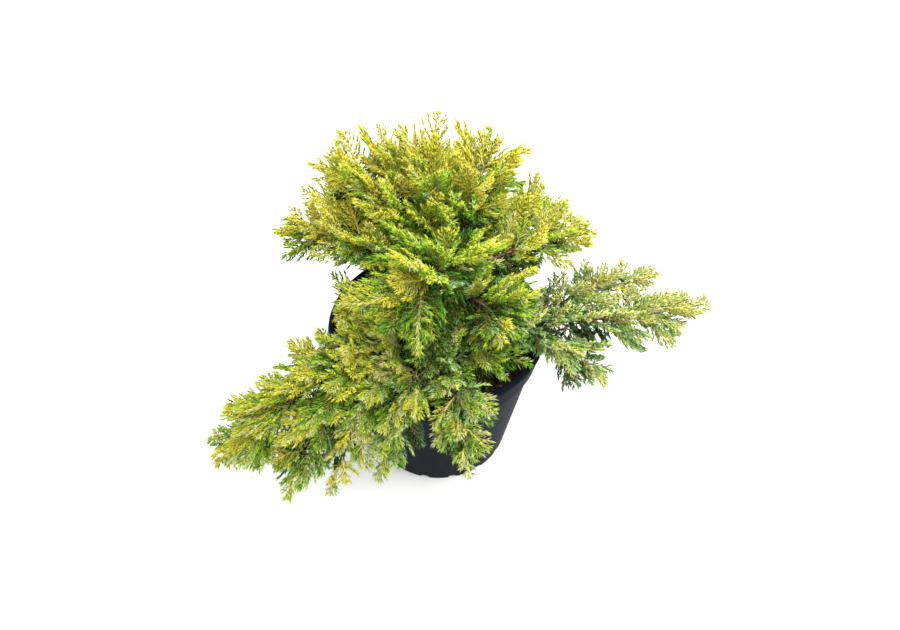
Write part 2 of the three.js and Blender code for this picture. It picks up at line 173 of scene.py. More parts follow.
# The outline that a twig with its sprays fills, and that of a side spray: places along it and
# aside from it as shares of its length, and its thickness.
TWIG_OUTLINE = ((0.36, 0.021), (0.5, 0.1764), (0.59, 0.0714), (0.79, 0.168))
TWIG_THICKNESS = 2.6
SIDE_OUTLINE = ((0.42, 0.28), (0.47, 0.1064), (0.75, 0.2016))
SIDE_THICKNESS = 1.8
OUTLINE_MIDDLE = (0.15, 0.25, 0.4, 0.6, 0.8)

# How clear the outlines stay of other foliage, of limbs and of the pot, in millimetres.
SPACE_MARGIN = 1.2
LIMB_MARGIN = 0.6
POT_MARGIN = 1.5
POT_BESIDE = 3.0  # how far beside the collar a point counts as outside the pot
LINE_POINTS = 13
POINTS_AT_ONCE = 2000

# Finer shoots: how far they may stray into the foliage of other boughs, and how far past their
# bough's tip or past their own root they may stand out from the pot's axis, in millimetres.
TWIG_STRAY = 14.0
INNER_STRAY = 40.0
SPRAY_STRAY = 42.0
REACH_MARGIN = 14.0
SPRAY_REACH = 6.0
SHOOT_SIZES = (1.0, 0.8, 0.6, 0.42)  # what one is cut to until it fits

# At these shares of a finer shoot: how much clearer of the pot it stays than an outline does.
POT_CLEARANCES = ((1.0, 3.0), (0.6, 2.0), (0.3, 0.0))


@dataclass
class ShootRule:
    """How finer shoots leave the shoots before them."""

    spacing: float  # millimetres between two of them
    span: tuple  # the shares of the parent between which they grow
    crowd: float  # over 1 where they stand closer towards the parent's root
    open: tuple  # degrees from the parent, at its root and at its tip
    length: tuple  # millimetres, the shortest and the longest
    share: float  # the longest one's length, as a share of the parent's
    taper: float  # how much shorter they are at the parent's tip
    vary: tuple  # what a length is multiplied by, at least and at most
    scatter: float  # degrees out of the parent's plane, or all round where it is 180
    hook: float  # how far one curves back towards the parent's heading
    lift: float  # how far its tip rises
    past: float  # millimetres that it may reach past the parent's tip
    lead: float  # millimetres more for the few that outgrow the others
    whim: float  # how much its goldenness strays from its parent's


@dataclass
class NeedleRule:
    """How needles stand round a shoot, in whorls of three."""

    spacing: float  # millimetres between whorls
    start: float  # the share of the shoot where they begin
    length: tuple  # millimetres, at the shoot's root and at its tip
    width: float
    open: tuple  # degrees from the shoot, at its root and at its tip


ALL_ROUND = 180

# The twigs that leave a stem, the shoots that leave a bare bough, and the sprays on all of them.
TWIG_RULE = ShootRule(
    spacing=4.5, span=(0.0, 0.97), crowd=1.35, open=(70, 34), length=(14, 90), share=1.0, taper=0.1,
    vary=(0.55, 0.95), scatter=ALL_ROUND, hook=0.2, lift=0.06, past=6, lead=18, whim=0.26,
)
INNER_RULE = ShootRule(
    spacing=4.4, span=(0.25, 1.0), crowd=1.0, open=(80, 60), length=(18, 58), share=1.0, taper=0.0,
    vary=(0.5, 1.0), scatter=ALL_ROUND, hook=0.2, lift=0.1, past=30, lead=13, whim=0.12,
)
SPRAY_RULE = ShootRule(
    spacing=3.3, span=(0.08, 0.96), crowd=1.0, open=(56, 28), length=(4, 36), share=0.53, taper=0.84,
    vary=(0.8, 1.1), scatter=18, hook=0.3, lift=0.04, past=2, lead=5, whim=0.08,
)
LAYERED = 0.7  # how far the twigs round a stem stand out above and below it
LEADERS = 0.18  # the share of the shoots that outgrow the others
LEADER_GAIN = 1.25  # a leader's length, as a multiple of another shoot's
SHOOT_PLACES = (0.2, 0.8)  # where in its own stretch of the parent a shoot may leave
SHOOT_ROLL = 0.3  # radians that one strays from its place round a stem
SHOOT_WANDER = 6.0  # degrees that it opens more or less
SHOOT_AHEAD = 0.85  # how much of its length takes it past its parent's tip
SHOOT_EASE = 0.35  # how much of its sag its run makes up for
TWIG_LEAN = 0.7  # how far a twig's plane leans out of the level
SPRAY_LEAN = (0.9, 0.5)  # how far a spray's plane keeps to its parent's and leans out of it
TWIG_BOW = 0.05  # how far a forking twig bends sideways and upwards
END_TWIG = 30.0  # how long the twig is that goes on from a stem's tip
END_TWIG_LIFT = 0.06

TWIG_NEEDLES = NeedleRule(spacing=3.0, start=0.06, length=(9.5, 6.5), width=2.2, open=(50, 18))
SPRAY_NEEDLES = NeedleRule(spacing=3.0, start=0.05, length=(9.0, 6.0), width=2.1, open=(44, 14))
NEEDLES_A_WHORL = 3
NEEDLE_FACES = np.array([(0, 1, 3), (0, 3, 2), (0, 2, 1), (1, 2, 3)])
NEEDLE_WIDEST = 0.36
NEEDLE_SPREAD = 0.45  # how far the needles stand out of their shoot's plane
NEEDLE_KEEL = 0.3
NEEDLE_HOOK = 0.12  # how far a needle's tip curves towards its shoot's heading
NEEDLE_PLACES = (0.1, 0.9)  # where in its whorl's stretch of the shoot one may stand
NEEDLE_ROLL = 0.25
NEEDLE_WANDER = 5.0
NEEDLE_VARY = (0.8, 1.15)

# How golden the needles are where a mass begins and at its tip, by its name or the first word of it.
# The values hold painted light and shade as well as the needles' own gold: inner and low masses are
# less golden as painted shade, and lit outer masses more golden as painted light.
GOLD = {
    "top": (0.36, 0.8),
    "left": (0.46, 0.84),
    "left_upper": (0.3, 0.84),
    "left_front": (0.28, 0.78),
    "right": (0.1, 0.68),
    "right_upper": (0.28, 0.88),
    "front": (0.24, 0.78),
    "front_crown": (-0.12, 0.84),
    "front_low": (0.16, 0.72),
    "front_right": (-0.06, 0.42),
    "back": (0.16, 0.8),
    "foot": (0.0, 0.4),
}
TWIG_WHIM = 0.22  # how much a twig's goldenness varies
# Painted light: shoots and needles that point up are made more golden, as if lit from above.
SUNWARD = 0.26  # how much more golden a shoot is that points straight up than one that lies level
TIPWARD = 0.4  # and how much more at its parent's tip than at its root
# Painted shade: the shoots of a bare stretch, deep inside the crown, are made less golden.
INNER_SHADE = 0.1  # how much less golden the shoots of a bare stretch are
# NEEDLE_SUNWARD paints the same light on needles that point up.
NEEDLE_SUNWARD = 0.1
NEEDLE_TIPWARD = 0.26
NEEDLE_MIDDLE = 0.4  # the share of a shoot where its needles are as golden as it is

# Which share of a mass's shoots has the bluish tints.
COOL_SHARES = {
    "right": 0.92,
    "right_upper": 0.36,
    "front": 0.55,
    "front_crown": 0.06,
    "front_right": 0.16,
    "left": 0.22,
    "left_front": 0.36,
    "top": 0.07,
    "back": 0.14,
    "foot": 0.16,
}

# The needles' tints, from the darkest green to the palest gold: linear base colours. The run is partly
# the needles' own colour, green on old growth and gold on new, and partly painted light: the darkest
# greens stand for painted shade deep in the crown, and the palest golds for painted light on the tops.
NEEDLE_TINTS = (
    ("deep_green", (0.03, 0.08, 0.006)),
    ("shade_green", (0.066, 0.175, 0.012)),
    ("leaf_green", (0.14, 0.31, 0.022)),
    ("lime_green", (0.25, 0.47, 0.038)),
    ("yellow_green", (0.38, 0.59, 0.044)),
    ("golden", (0.5, 0.655, 0.05)),
    ("bright_gold", (0.63, 0.675, 0.056)),
    ("pale_gold", (0.73, 0.69, 0.075)),
)
COOL_TINTS = (
    ("dusky_green", (0.062, 0.155, 0.04)),
    ("blue_green", (0.145, 0.3, 0.1)),
    ("sage_green", (0.26, 0.45, 0.15)),
    ("pale_sage", (0.41, 0.59, 0.18)),
    ("cream_green", (0.55, 0.68, 0.21)),
    ("cream_gold", (0.66, 0.7, 0.23)),
)
TWIG_TINTS = (
    ("russet_bark", (0.17, 0.07, 0.035)),
    ("tan_bark", (0.34, 0.19, 0.065)),
    ("green_bark", (0.36, 0.30, 0.06)),
    ("golden_bark", (0.60, 0.50, 0.09)),
)
CHIP_TINTS = (
    ("wet_chip", (0.012, 0.007, 0.005)),
    ("brown_chip", (0.035, 0.018, 0.01)),
    ("red_chip", (0.08, 0.034, 0.018)),
    ("straw_chip", (0.22, 0.14, 0.07)),
)


@dataclass
class TubeRule:
    """How shoots are drawn as tubes, and which barks they have."""

    radii: tuple  # millimetres, at the root and at the tip
    sides: int
    steps: int
    first: int  # the number of the oldest bark
    golds: tuple  # how golden a shoot is where each later bark begins


TWIG_TUBES = TubeRule(radii=(1.2, 0.5), sides=5, steps=4, first=0, golds=(0.22, 0.42, 0.62))
SPRAY_TUBES = TubeRule(radii=(0.75, 0.3), sides=3, steps=2, first=2, golds=(0.42,))

# Each one adds a number of its own to the seed, so that the random draws don't repeat each other.
NEEDLE_DRAWS = 2
CHIP_DRAWS = 99


def chance(a, b, c):
    """A repeatable random number from 0 to 1 for three whole numbers."""
    whole = 0xFFFFFFFF
    h = ((a + 1) * 0x9E3779B1 ^ (b + 1) * 0x85EBCA6B ^ (c + 1) * 0xC2B2AE35) & whole
    h = ((h ^ (h >> 15)) * 0x2C1B3C6D) & whole
    h = ((h ^ (h >> 12)) * 0x297A2D39) & whole
    return (h ^ (h >> 15)) / (whole + 1)


def spread_chance(a, b, c):
    """The same from -1 to 1."""
    return 2 * chance(a, b, c) - 1


def lerp(low, high, share):
    """The value at a share of the way from low to high."""
    return low + (high - low) * share


def unit(vectors):
    """The vectors at length one."""
    return vectors / np.linalg.norm(vectors, axis=-1, keepdims=True)


def turned(vectors, axes, angle):
    """The vectors turned about their unit axes by an angle in radians."""
    cos = np.cos(angle)[..., None]
    sin = np.sin(angle)[..., None]
    along = (vectors * axes).sum(-1, keepdims=True)
    return vectors * cos + np.cross(axes, vectors) * sin + axes * along * (1 - cos)


def across_and_up(heading):
    """A level direction across each heading, and one square to both that points upwards."""
    across = unit(np.cross(heading, UP))
    return across, np.cross(across, heading)


def between(first, second, angle):
    """The directions at an angle from the first ones towards the second ones."""
    return first * np.cos(angle)[:, None] + second * np.sin(angle)[:, None]


def by_name(table, name):
    """What a table holds for a mass, by its name or else by the first word of it."""
    return table.get(name, table[name.split("_")[0]])


class Curve:
    """A quadratic curve from a root to a tip that leans towards a middle point."""

    def __init__(self, root, middle, tip):
        self.root = np.array(root, float)
        self.middle = np.array(middle, float)
        self.tip = np.array(tip, float)

    def at(self, share):
        """The points at these shares of the curve."""
        s = np.asarray(share, float)[..., None]
        return (1 - s) ** 2 * self.root + 2 * s * (1 - s) * self.middle + s * s * self.tip

    def slope(self, share):
        """How fast the point moves with the share."""
        s = np.asarray(share, float)[..., None]
        return 2 * (1 - s) * (self.middle - self.root) + 2 * s * (self.tip - self.middle)

    def length(self):
        """The curve's length, from straight pieces."""
        steps = np.diff(self.at(np.linspace(0, 1, CURVE_PIECES + 1)), axis=0)
        return np.linalg.norm(steps, axis=1).sum()


TRUNK_CURVE = Curve(
    (0, 0, 0),
    (0, TRUNK_LEAN[1] * TRUNK_BOW, TRUNK_HEIGHT * 0.5),
    (*TRUNK_LEAN, TRUNK_HEIGHT),
)


def trunk_radius(along, angle):
    """The trunk's radius at a share of its height and an angle round it."""
    even, lobes = TRUNK_LOBING
    flare = TRUNK_FLARE * np.exp(-along * TRUNK_HEIGHT / TRUNK_FLARE_HEIGHT)
    swollen = 1 + flare * (even + lobes * np.cos(TRUNK_LOBES * angle))
    return lerp(*TRUNK_RADII, along**TRUNK_TAPER) * swollen


class Bough:
    """A bough with the stem of its foliage, which goes on along the same curve."""

    def __init__(self, index, row, placed):
        name, parent, at, azimuth, reach, height, arch, bend, bare, spread, radius = row
        root = placed[parent].curve.at(at) if parent in placed else TRUNK_CURVE.at(at)
        angle = math.radians(azimuth)
        tip = np.array([reach * math.cos(angle), reach * math.sin(angle), height])
        left = unit(np.array([root[1] - tip[1], tip[0] - root[0], 0.0]))
        self.name = name
        self.parent = parent
        self.index = index
        self.reach = reach
        self.bare = bare
        self.spread = spread
        self.radius = radius
        self.curve = Curve(root, (root + tip) / 2 + UP * arch + left * bend, tip)
        self.length = self.curve.length()
        self.stem_from = bare + SOIL_GAP / self.length
        self.twig_count = round(self.length * (1 - self.stem_from) / TWIG_SPACING)

    def limb_radius(self, share):
        """The radius of the bough and its stem at a share of the whole curve."""
        return self.radius * (1 + (TIP_SHARE - 1) * share)

    def twig_share(self, k):
        """The share of the stem where twig number k leaves it."""
        return lerp(*TWIG_SPAN, (k + 0.5) / self.twig_count)


@functools.cache
def boughs():
    """Every bough in its place."""
    placed = {}
    for index, row in enumerate(BOUGHS):
        placed[row[0]] = Bough(index, row, placed)
    return list(placed.values())


@functools.cache
def measuring_lines():
    """Points along every stem and along every bare bough, to measure distances from."""
    stems = [b.curve.at(np.linspace(b.bare, 1, LINE_POINTS)) for b in boughs()]
    bares = [b.curve.at(np.linspace(0, b.bare, LINE_POINTS)) for b in boughs()]
    return np.array(stems), np.array(bares)


def distances(points, lines):
    """How far each point is from each line: a row for each point, a column for each line."""
    start = lines[:, :-1]
    step = np.diff(lines, axis=1)
    square = (step * step).sum(-1)
    found = []
    for some in np.array_split(points, 1 + len(points) // POINTS_AT_ONCE):
        away = some[:, None, None] - start
        along = np.clip((away * step).sum(-1) / square, 0, 1)
        away = away - along[..., None] * step
        found.append(np.sqrt((away * away).sum(-1)).min(-1))
    return np.concatenate(found)


def pot_outer(z):
    """The radius of the pot's wall outside, under the collar, at a height."""
    return POT_FOOT_RADIUS + (POT_SHOULDER_RADIUS - POT_FOOT_RADIUS) * z / POT_SHOULDER_HEIGHT


def pot_inner(z):
    """The radius of the pot's wall inside at a height."""
    return pot_outer(np.minimum(z, POT_SHOULDER_HEIGHT)) - POT_WALL


def clear_of_pot(points, margin):
    """Whether each point is clear of the pot's wall and above the soil."""
    z = points[:, 2] + SOIL_TOP
    radius = np.hypot(points[:, 0], points[:, 1])
    under_collar = z < POT_SHOULDER_HEIGHT - margin
    inside = (radius < pot_inner(z) - margin) & (z > SOIL_MIDDLE + margin)
    outside = radius > pot_outer(np.minimum(z, POT_HEIGHT)) + POT_COLLAR_STEP + POT_BESIDE
    away = (z < margin) | (radius > POT_RIM_RADIUS + margin)
    above = z > POT_HEIGHT + margin
    return np.select([away, above, outside], [z >= margin, True, under_collar], inside)


def nearest_is_own(points, own, margin):
    """Whether each point is nearer to its own stem than to any other, by a margin."""
    stems, _ = measuring_lines()
    to_stems = distances(points, stems)
    mine = to_stems[:, own.index] + margin
    to_stems[:, own.index] = np.inf
    return to_stems.min(1) >= mine


def in_own_space(points, own, thickness):
    """Whether each point belongs to a bough's own foliage: nearer to its stem than to any other,
    and clear of every limb, the trunk and the pot."""
    _, bares = measuring_lines()
    radii = np.array([bough.radius for bough in boughs()])
    along = np.clip(points[:, 2] / TRUNK_HEIGHT, 0, 1)
    to_trunk = np.linalg.norm(points - TRUNK_CURVE.at(along), axis=1)
    return (
        clear_of_pot(points, POT_MARGIN)
        & nearest_is_own(points, own, SPACE_MARGIN + thickness)
        & (distances(points, bares) >= radii + LIMB_MARGIN + thickness).all(1)
        & (to_trunk > trunk_radius(along, 0.0) + LIMB_MARGIN + thickness)
    )


@dataclass
class Shoots:
    """Many shoots at once, one a row. A shoot's point at share s is root + run s + sag s squared."""

    root: np.ndarray
    run: np.ndarray
    sag: np.ndarray
    across: np.ndarray
    length: np.ndarray
    gold: np.ndarray  # how golden its needles are, from 0 to 1

    def at(self, share):
        """The point at a share of each shoot."""
        s = np.broadcast_to(share, self.length.shape)[:, None]
        return self.root + s * self.run + s * s * self.sag

    def heading(self, share):
        """The direction at a share of each shoot."""
        s = np.broadcast_to(share, self.length.shape)[:, None]
        return unit(self.run + 2 * s * self.sag)

    def sides(self, share):
        """Two directions square to each shoot and to each other, the first one in its plane."""
        heading = self.heading(share)
        across = unit(self.across - heading * (self.across * heading).sum(1, keepdims=True))
        return across, np.cross(across, heading)

    def pick(self, rows):
        """The shoots with these row numbers."""
        return Shoots(*(getattr(self, field.name)[rows] for field in fields(self)))

    def cut(self, size):
        """The shoots cut to a share of their length."""
        run, sag = self.run * size, self.sag * size * size
        return Shoots(self.root, run, sag, self.across, self.length * size, self.gold)


def joined(groups):
    """Several groups of shoots as one."""
    names = [field.name for field in fields(Shoots)]
    return Shoots(*(np.concatenate([getattr(g, name) for g in groups]) for name in names))


def plume(share):
    """How long the twigs are along a stem: longest before its middle and shortest at its tip."""
    start, span = PLUME
    return np.sqrt(np.sin(math.pi * (start + span * share)))


@dataclass
class Twig:
    """A straight twig or side spray of the plant's solids."""

    root: np.ndarray
    heading: np.ndarray
    across: np.ndarray
    length: float


def twig_of(bough, k, roll_degrees, size):
    """Twig number k of a bough's foliage, turned round the stem and cut to a size."""
    share = bough.twig_share(k)
    at = lerp(bough.stem_from, 1, share)
    stem = unit(bough.curve.slope(at))
    across, up = across_and_up(stem)
    stray = spread_chance(bough.index, k, 1) * TWIG_ROLL
    roll = k * GOLDEN_ANGLE + stray + math.radians(roll_degrees)
    wander = TWIG_WANDER * spread_chance(bough.index, k, 2)
    opening = math.radians(lerp(*TWIG_OPEN, share) + wander)
    aside = across * math.cos(roll) + up * math.sin(roll)
    heading = stem * math.cos(opening) + aside * math.sin(opening)
    heading = unit(heading - UP * TWIG_DROOP)
    level, _ = across_and_up(heading)
    tilt = np.array(TWIG_TILT * spread_chance(bough.index, k, 4))
    least, more = TWIG_VARY
    length = bough.spread * plume(share) * (least + more * chance(bough.index, k, 3))
    root = bough.curve.at(at) + heading * TWIG_START
    return Twig(root, heading, turned(level, heading, tilt), length * size)


def fork_of(bough, k, twig, size):
    """The side spray of a twig that forks, which lies nearly in its plane."""
    flatwise = np.cross(twig.across, twig.heading)
    turn = np.array(math.radians(-FORK_TURN if k % 2 else FORK_TURN))
    heading = turned(twig.heading, flatwise, turn)
    across = turned(twig.across, flatwise, turn)
    root = twig.root + twig.heading * FORK_AT * twig.length - heading * TWIG_SUNK
    least, more = FORK_VARY
    length = FORK_SHARE * twig.length * (least + more * chance(bough.index, k, 5))
    twist = np.array(math.radians(TWIG_TWIST))
    return Twig(root, heading, turned(across, heading, twist), length * size)


def outline_points(twig, outline):
    """Points on a twig's outline and along its middle, which must all lie in its own space."""
    left = list(outline)
    right = [(along, -aside) for along, aside in outline]
    places = np.array(left + right + [(1, 0)] + [(along, 0) for along in OUTLINE_MIDDLE])
    along = places[:, :1] * twig.length
    aside = places[:, 1:] * twig.length
    return twig.root + twig.heading * along + twig.across * aside


def first_that_fits(bough, choices, outline, thickness):
    """The first of the choices that lies in the bough's own space, or nothing."""
    points = np.array([outline_points(choice, outline) for choice in choices])
    count = points.shape[1]
    inside = in_own_space(points.reshape(-1, 3), bough, thickness / 2).reshape(-1, count).all(1)
    return choices[int(inside.argmax())] if inside.any() else None


def skeleton_of(bough):
    """The twigs and side sprays of a bough's solid mass, with each one's share of the stem."""
    grown = []
    for k in range(bough.twig_count):
        choices = [twig_of(bough, k, roll, size) for size in TWIG_SIZES for roll in TWIG_ROLLS]
        twig = first_that_fits(bough, choices, TWIG_OUTLINE, TWIG_THICKNESS)
        if twig is None:
            continue
        grown.append((twig, bough.twig_share(k)))
        if k % FORK_EVERY == 0:
            choices = [fork_of(bough, k, twig, size) for size in TWIG_SIZES]
            fork = first_that_fits(bough, choices, SIDE_OUTLINE, SIDE_THICKNESS)
            if fork is not None:
                grown.append((fork, bough.twig_share(k)))
    return grown


def twigs_of(bough, rng):
    """A mass's twigs and forks as shoots with a little life in their curves."""
    twigs, shares = zip(*skeleton_of(bough))
    root = np.array([twig.root for twig in twigs])
    length = np.array([twig.length for twig in twigs])
    heading = np.array([twig.heading for twig in twigs])
    across = np.array([twig.across for twig in twigs])
    gold = lerp(*by_name(GOLD, bough.name), np.array(shares)) + rng.normal(0, TWIG_WHIM, len(twigs))
    # Painted light: a twig that points up is more golden.
    gold = gold + SUNWARD * heading[:, 2]
    bow = rng.uniform(-TWIG_BOW, TWIG_BOW, (len(twigs), 1)) * across + TWIG_BOW * UP
    run = (heading - bow) * length[:, None]
    return Shoots(root, run, bow * length[:, None], across, length, gold)


def dealt_out(counts):
    """Whose each of these many things is, and its number among its owner's."""
    owner = np.repeat(np.arange(len(counts)), counts)
    return owner, np.concatenate([np.arange(count) for count in counts])


def side_shoots(parents, rule, rng, whole=None):
    """Finer shoots that leave their parents left and right in turn, or all round."""
    room = parents.length * (rule.span[1] - rule.span[0])
    count = np.maximum(1, room / rule.spacing).astype(int)
    owner, number = dealt_out(count)
    size = len(owner)
    place = (number + rng.uniform(*SHOOT_PLACES, size)) / count[owner]
    share = lerp(*rule.span, place**rule.crowd)
    own = parents.pick(owner)
    ahead = own.heading(share)
    across, flatwise = own.sides(share)
    if rule.scatter == ALL_ROUND:
        roll = number * GOLDEN_ANGLE + rng.normal(0, SHOOT_ROLL, size)
        flatwise = flatwise * LAYERED
    else:
        roll = np.where(number % 2, 0, math.pi) + np.radians(rng.normal(0, rule.scatter, size))
    aside = unit(between(across, flatwise, roll))
    opening = np.radians(lerp(*rule.open, share) + rng.normal(0, SHOOT_WANDER, size))
    heading = between(ahead, aside, opening)
    reach = own.length if whole is None else whole
    leads = rng.random(size) < LEADERS
    length = reach * rule.share * plume(share) * (1 - rule.taper * share**2)
    length = length * rng.uniform(*rule.vary, size)
    length = np.where(leads, length * LEADER_GAIN, length)
    past_tip = ((1 - share) * own.length + rule.past + leads * rule.lead) / SHOOT_AHEAD
    length = np.minimum(np.clip(length, *rule.length), past_tip)
    sag = rule.hook * (ahead - heading) + rule.lift * UP
    run = (heading - sag * SHOOT_EASE) * length[:, None]
    if rule.scatter == ALL_ROUND:
        level, over = across_and_up(unit(heading))
        plane = level + over * rng.uniform(-TWIG_LEAN, TWIG_LEAN, size)[:, None]
    else:
        kept, lean = SPRAY_LEAN
        plane = across * kept + flatwise * rng.uniform(-lean, lean, size)[:, None]
    # Painted light: a shoot that points up is more golden.
    gold = own.gold + rng.normal(0, rule.whim, size) + SUNWARD * heading[:, 2] + TIPWARD * (share - 0.5)
    return Shoots(own.at(share), run, sag * length[:, None], plane, length, gold), share


def kept_in_space(shoots, bough, stray, past_root=0.0):
    """The shoots whose ends lie in the bough's own space, cut shorter where that helps."""
    kept = []
    left = shoots
    for size in SHOOT_SIZES:
        trial = left.cut(size)
        tips = trial.at(1.0)
        fits = nearest_is_own(tips, bough, -stray)
        for share, more in POT_CLEARANCES:
            fits &= clear_of_pot(trial.at(share), POT_MARGIN + more)
        furthest = np.hypot(left.root[:, 0], left.root[:, 1]) + past_root
        furthest = np.maximum(furthest, bough.reach + REACH_MARGIN)
        fits &= np.hypot(tips[:, 0], tips[:, 1]) < furthest
        kept.append(trial.pick(fits))
        left = left.pick(~fits)
    return joined(kept)


def limb_part(bough, start, end, gold):
    """A stretch of a bough's whole curve as a shoot."""
    curve = bough.curve
    rest = end - start
    root = curve.at(start)
    run = rest * curve.slope(start)
    sag = curve.at(end) - root - run
    across, _ = across_and_up(unit(run))
    length = np.array([rest * bough.length])
    return Shoots(root[None], run[None], sag[None], across[None], length, np.array([gold]))


def end_of(stem, gold):
    """The twig that goes on from a stem's tip and bends a little upwards."""
    bow = END_TWIG_LIFT * UP * END_TWIG
    run = stem.heading(1.0) * END_TWIG - bow
    return Shoots(stem.at(1.0), run, bow[None], stem.across, np.array([END_TWIG]), np.array([gold]))


@dataclass
class Mass:
    """A mass of foliage: its stem, its twigs and their sprays."""

    name: str
    stem: Shoots
    twigs: Shoots
    sprays: Shoots


@functools.cache
def masses(seed):
    """Every mass of foliage, grown on from its bough."""
    grown = []
    for bough in boughs():
        rng = np.random.default_rng([seed, bough.index])
        low, high = by_name(GOLD, bough.name)
        stem = limb_part(bough, bough.stem_from, 1.0, 0.0)
        main_twigs = twigs_of(bough, rng)
        fine_twigs, share = side_shoots(stem, TWIG_RULE, rng, bough.spread)
        fine_twigs.gold += lerp(low, high, share)
        fine_twigs = kept_in_space(fine_twigs, bough, TWIG_STRAY)
        # Painted shade: the bare stretch's shoots, inside the crown, are less golden.
        bare = limb_part(bough, 0.0, bough.bare, low - INNER_SHADE)
        inner_twigs, _ = side_shoots(bare, INNER_RULE, rng, bough.spread)
        inner_twigs = kept_in_space(inner_twigs, bough, INNER_STRAY)
        end_twig = kept_in_space(end_of(stem, high), bough, TWIG_STRAY)
        twigs = joined([main_twigs, fine_twigs, inner_twigs, end_twig])
        sprays, _ = side_shoots(twigs, SPRAY_RULE, rng)
        sprays = kept_in_space(sprays, bough, SPRAY_STRAY, SPRAY_REACH)
        grown.append(Mass(bough.name, stem, twigs, sprays))
    return grown


def needle_points(shoots, rule, scale, rng):
    """Four points for each needle, as a keeled blade with a root, two sides and a tip, with the
    share of the shoot that each one stands at and the shoot's number."""
    whorls = np.maximum(2, shoots.length * (1 - rule.start) / rule.spacing).astype(int)
    owner, number = (np.repeat(row, NEEDLES_A_WHORL) for row in dealt_out(whorls))
    size = len(owner)
    place = (number + rng.uniform(*NEEDLE_PLACES, size)) / whorls[owner]
    share = rule.start + (1 - rule.start) * place
    own = shoots.pick(owner)
    ahead = own.heading(share)
    across, flatwise = own.sides(share)
    third = 2 * math.pi / NEEDLES_A_WHORL
    roll = np.arange(size) * third + number * third / 2 + rng.normal(0, NEEDLE_ROLL, size)
    aside = unit(across * np.cos(roll)[:, None] + flatwise * np.sin(roll)[:, None] * NEEDLE_SPREAD)
    opening = np.radians(lerp(*rule.open, share) + rng.normal(0, NEEDLE_WANDER, size))
    heading = between(ahead, aside, opening)
    length = (lerp(*rule.length, share) * rng.uniform(*NEEDLE_VARY, size) * scale)[:, None]
    sideways = unit(np.cross(heading, aside))
    inward = np.cross(heading, sideways)
    root = own.at(share)
    tip = root + heading * length + ahead * length * NEEDLE_HOOK
    middle = root + heading * length * NEEDLE_WIDEST + inward * NEEDLE_KEEL
    half = sideways * rule.width * scale / 2
    return np.stack([root, middle - half, middle + half, tip], 1), share, owner


def small_bodies(points, faces, tints):
    """Many small closed bodies, a row of points and a tint each, that share one list of triangles.
    The triangles are turned round if they would point inwards."""
    body = points[0]
    corners = body[faces] - body.mean(0)
    if (np.cross(corners[:, 0], corners[:, 1]) * corners[:, 2]).sum() < 0:
        faces = faces[:, ::-1]
    offsets = np.arange(len(points))[:, None, None] * points.shape[1]
    return points.reshape(-1, 3), (faces[None] + offsets).reshape(-1, 3), np.repeat(tints, len(faces))


def in_scene(name, data):
    """A new object in the scene for a mesh, a lamp or a camera."""
    thing = bpy.data.objects.new(name, data)
    bpy.context.scene.collection.objects.link(thing)
    return thing


def mesh_object(name, groups, materials):
    """One object from groups of points in millimetres above the soil, triangles and their tints."""
    points, faces, tints = zip(*groups)
    starts = np.cumsum([0, *map(len, points)])
    faces = np.concatenate([some + start for some, start in zip(faces, starts)])
    place = np.concatenate(points) * MM + np.array([0, 0, SOIL_TOP * MM])
    mesh = bpy.data.meshes.new(name)
    mesh.vertices.add(len(place))
    mesh.vertices.foreach_set("co", place.astype(np.float32).ravel())
    mesh.loops.add(faces.size)
    mesh.loops.foreach_set("vertex_index", faces.astype(np.int32).ravel())
    mesh.polygons.add(len(faces))
    mesh.polygons.foreach_set("loop_start", np.arange(0, faces.size, 3, dtype=np.int32))
    mesh.polygons.foreach_set("material_index", np.concatenate(tints).astype(np.int32))
    for material in materials:
        mesh.materials.append(material)
    mesh.update(calc_edges=True)
    mesh.validate()
    return in_scene(name, mesh)


def tint_materials(prefix, tints, roughness, gloss, overall=(1.0, 1.0, 1.0)):
    """A finish for each of the plain colours that are dealt out among small bodies. overall is
    what every colour is multiplied by."""
    materials = []
    for name, colour in tints:
        material = bpy.data.materials.new(prefix + name)
        material.use_nodes = True
        shader = material.node_tree.nodes["Principled BSDF"]
        shown = [part * share for part, share in zip(colour, overall)]
        shader.inputs["Base Color"].default_value = (*shown, 1)
        shader.inputs["Roughness"].default_value = roughness
        shader.inputs["Specular IOR Level"].default_value = gloss
        materials.append(material)
    return materials


def tint_numbers(gold, cool):
    """The number of the tint for each value of gold. A cool spray's green is bluish."""
    last = len(NEEDLE_TINTS) - 1
    number = np.clip(np.round(gold * last), 0, last).astype(int)
    cool_number = np.clip(number, 0, len(COOL_TINTS) - 1) + len(NEEDLE_TINTS)
    return np.where(cool, cool_number, number)


def needles_piece(mass, number, settings, materials):
    """All the needles of one mass, joined, with a tint dealt out to each spray."""
    rng = np.random.default_rng([settings.seed, number, NEEDLE_DRAWS])
    cool_share = by_name(COOL_SHARES, mass.name)
    groups = []
    for shoots, rule in (
        (mass.stem, TWIG_NEEDLES),
        (mass.twigs, TWIG_NEEDLES),
        (mass.sprays, SPRAY_NEEDLES),
    ):
        points, share, owner = needle_points(shoots, rule, settings.needle_scale, rng)
        lift = unit(points[:, 3] - points[:, 0])[:, 2]
        # Painted light: a needle that points up is more golden.
        gold = shoots.gold[owner] + NEEDLE_TIPWARD * (share - NEEDLE_MIDDLE) + NEEDLE_SUNWARD * lift
        cool = rng.random(len(shoots.length))[owner] < cool_share
        tints = tint_numbers(gold + settings.more_gold, cool)
        groups.append(small_bodies(points, NEEDLE_FACES, tints))
    return mesh_object("needles_" + mass.name, groups, materials)


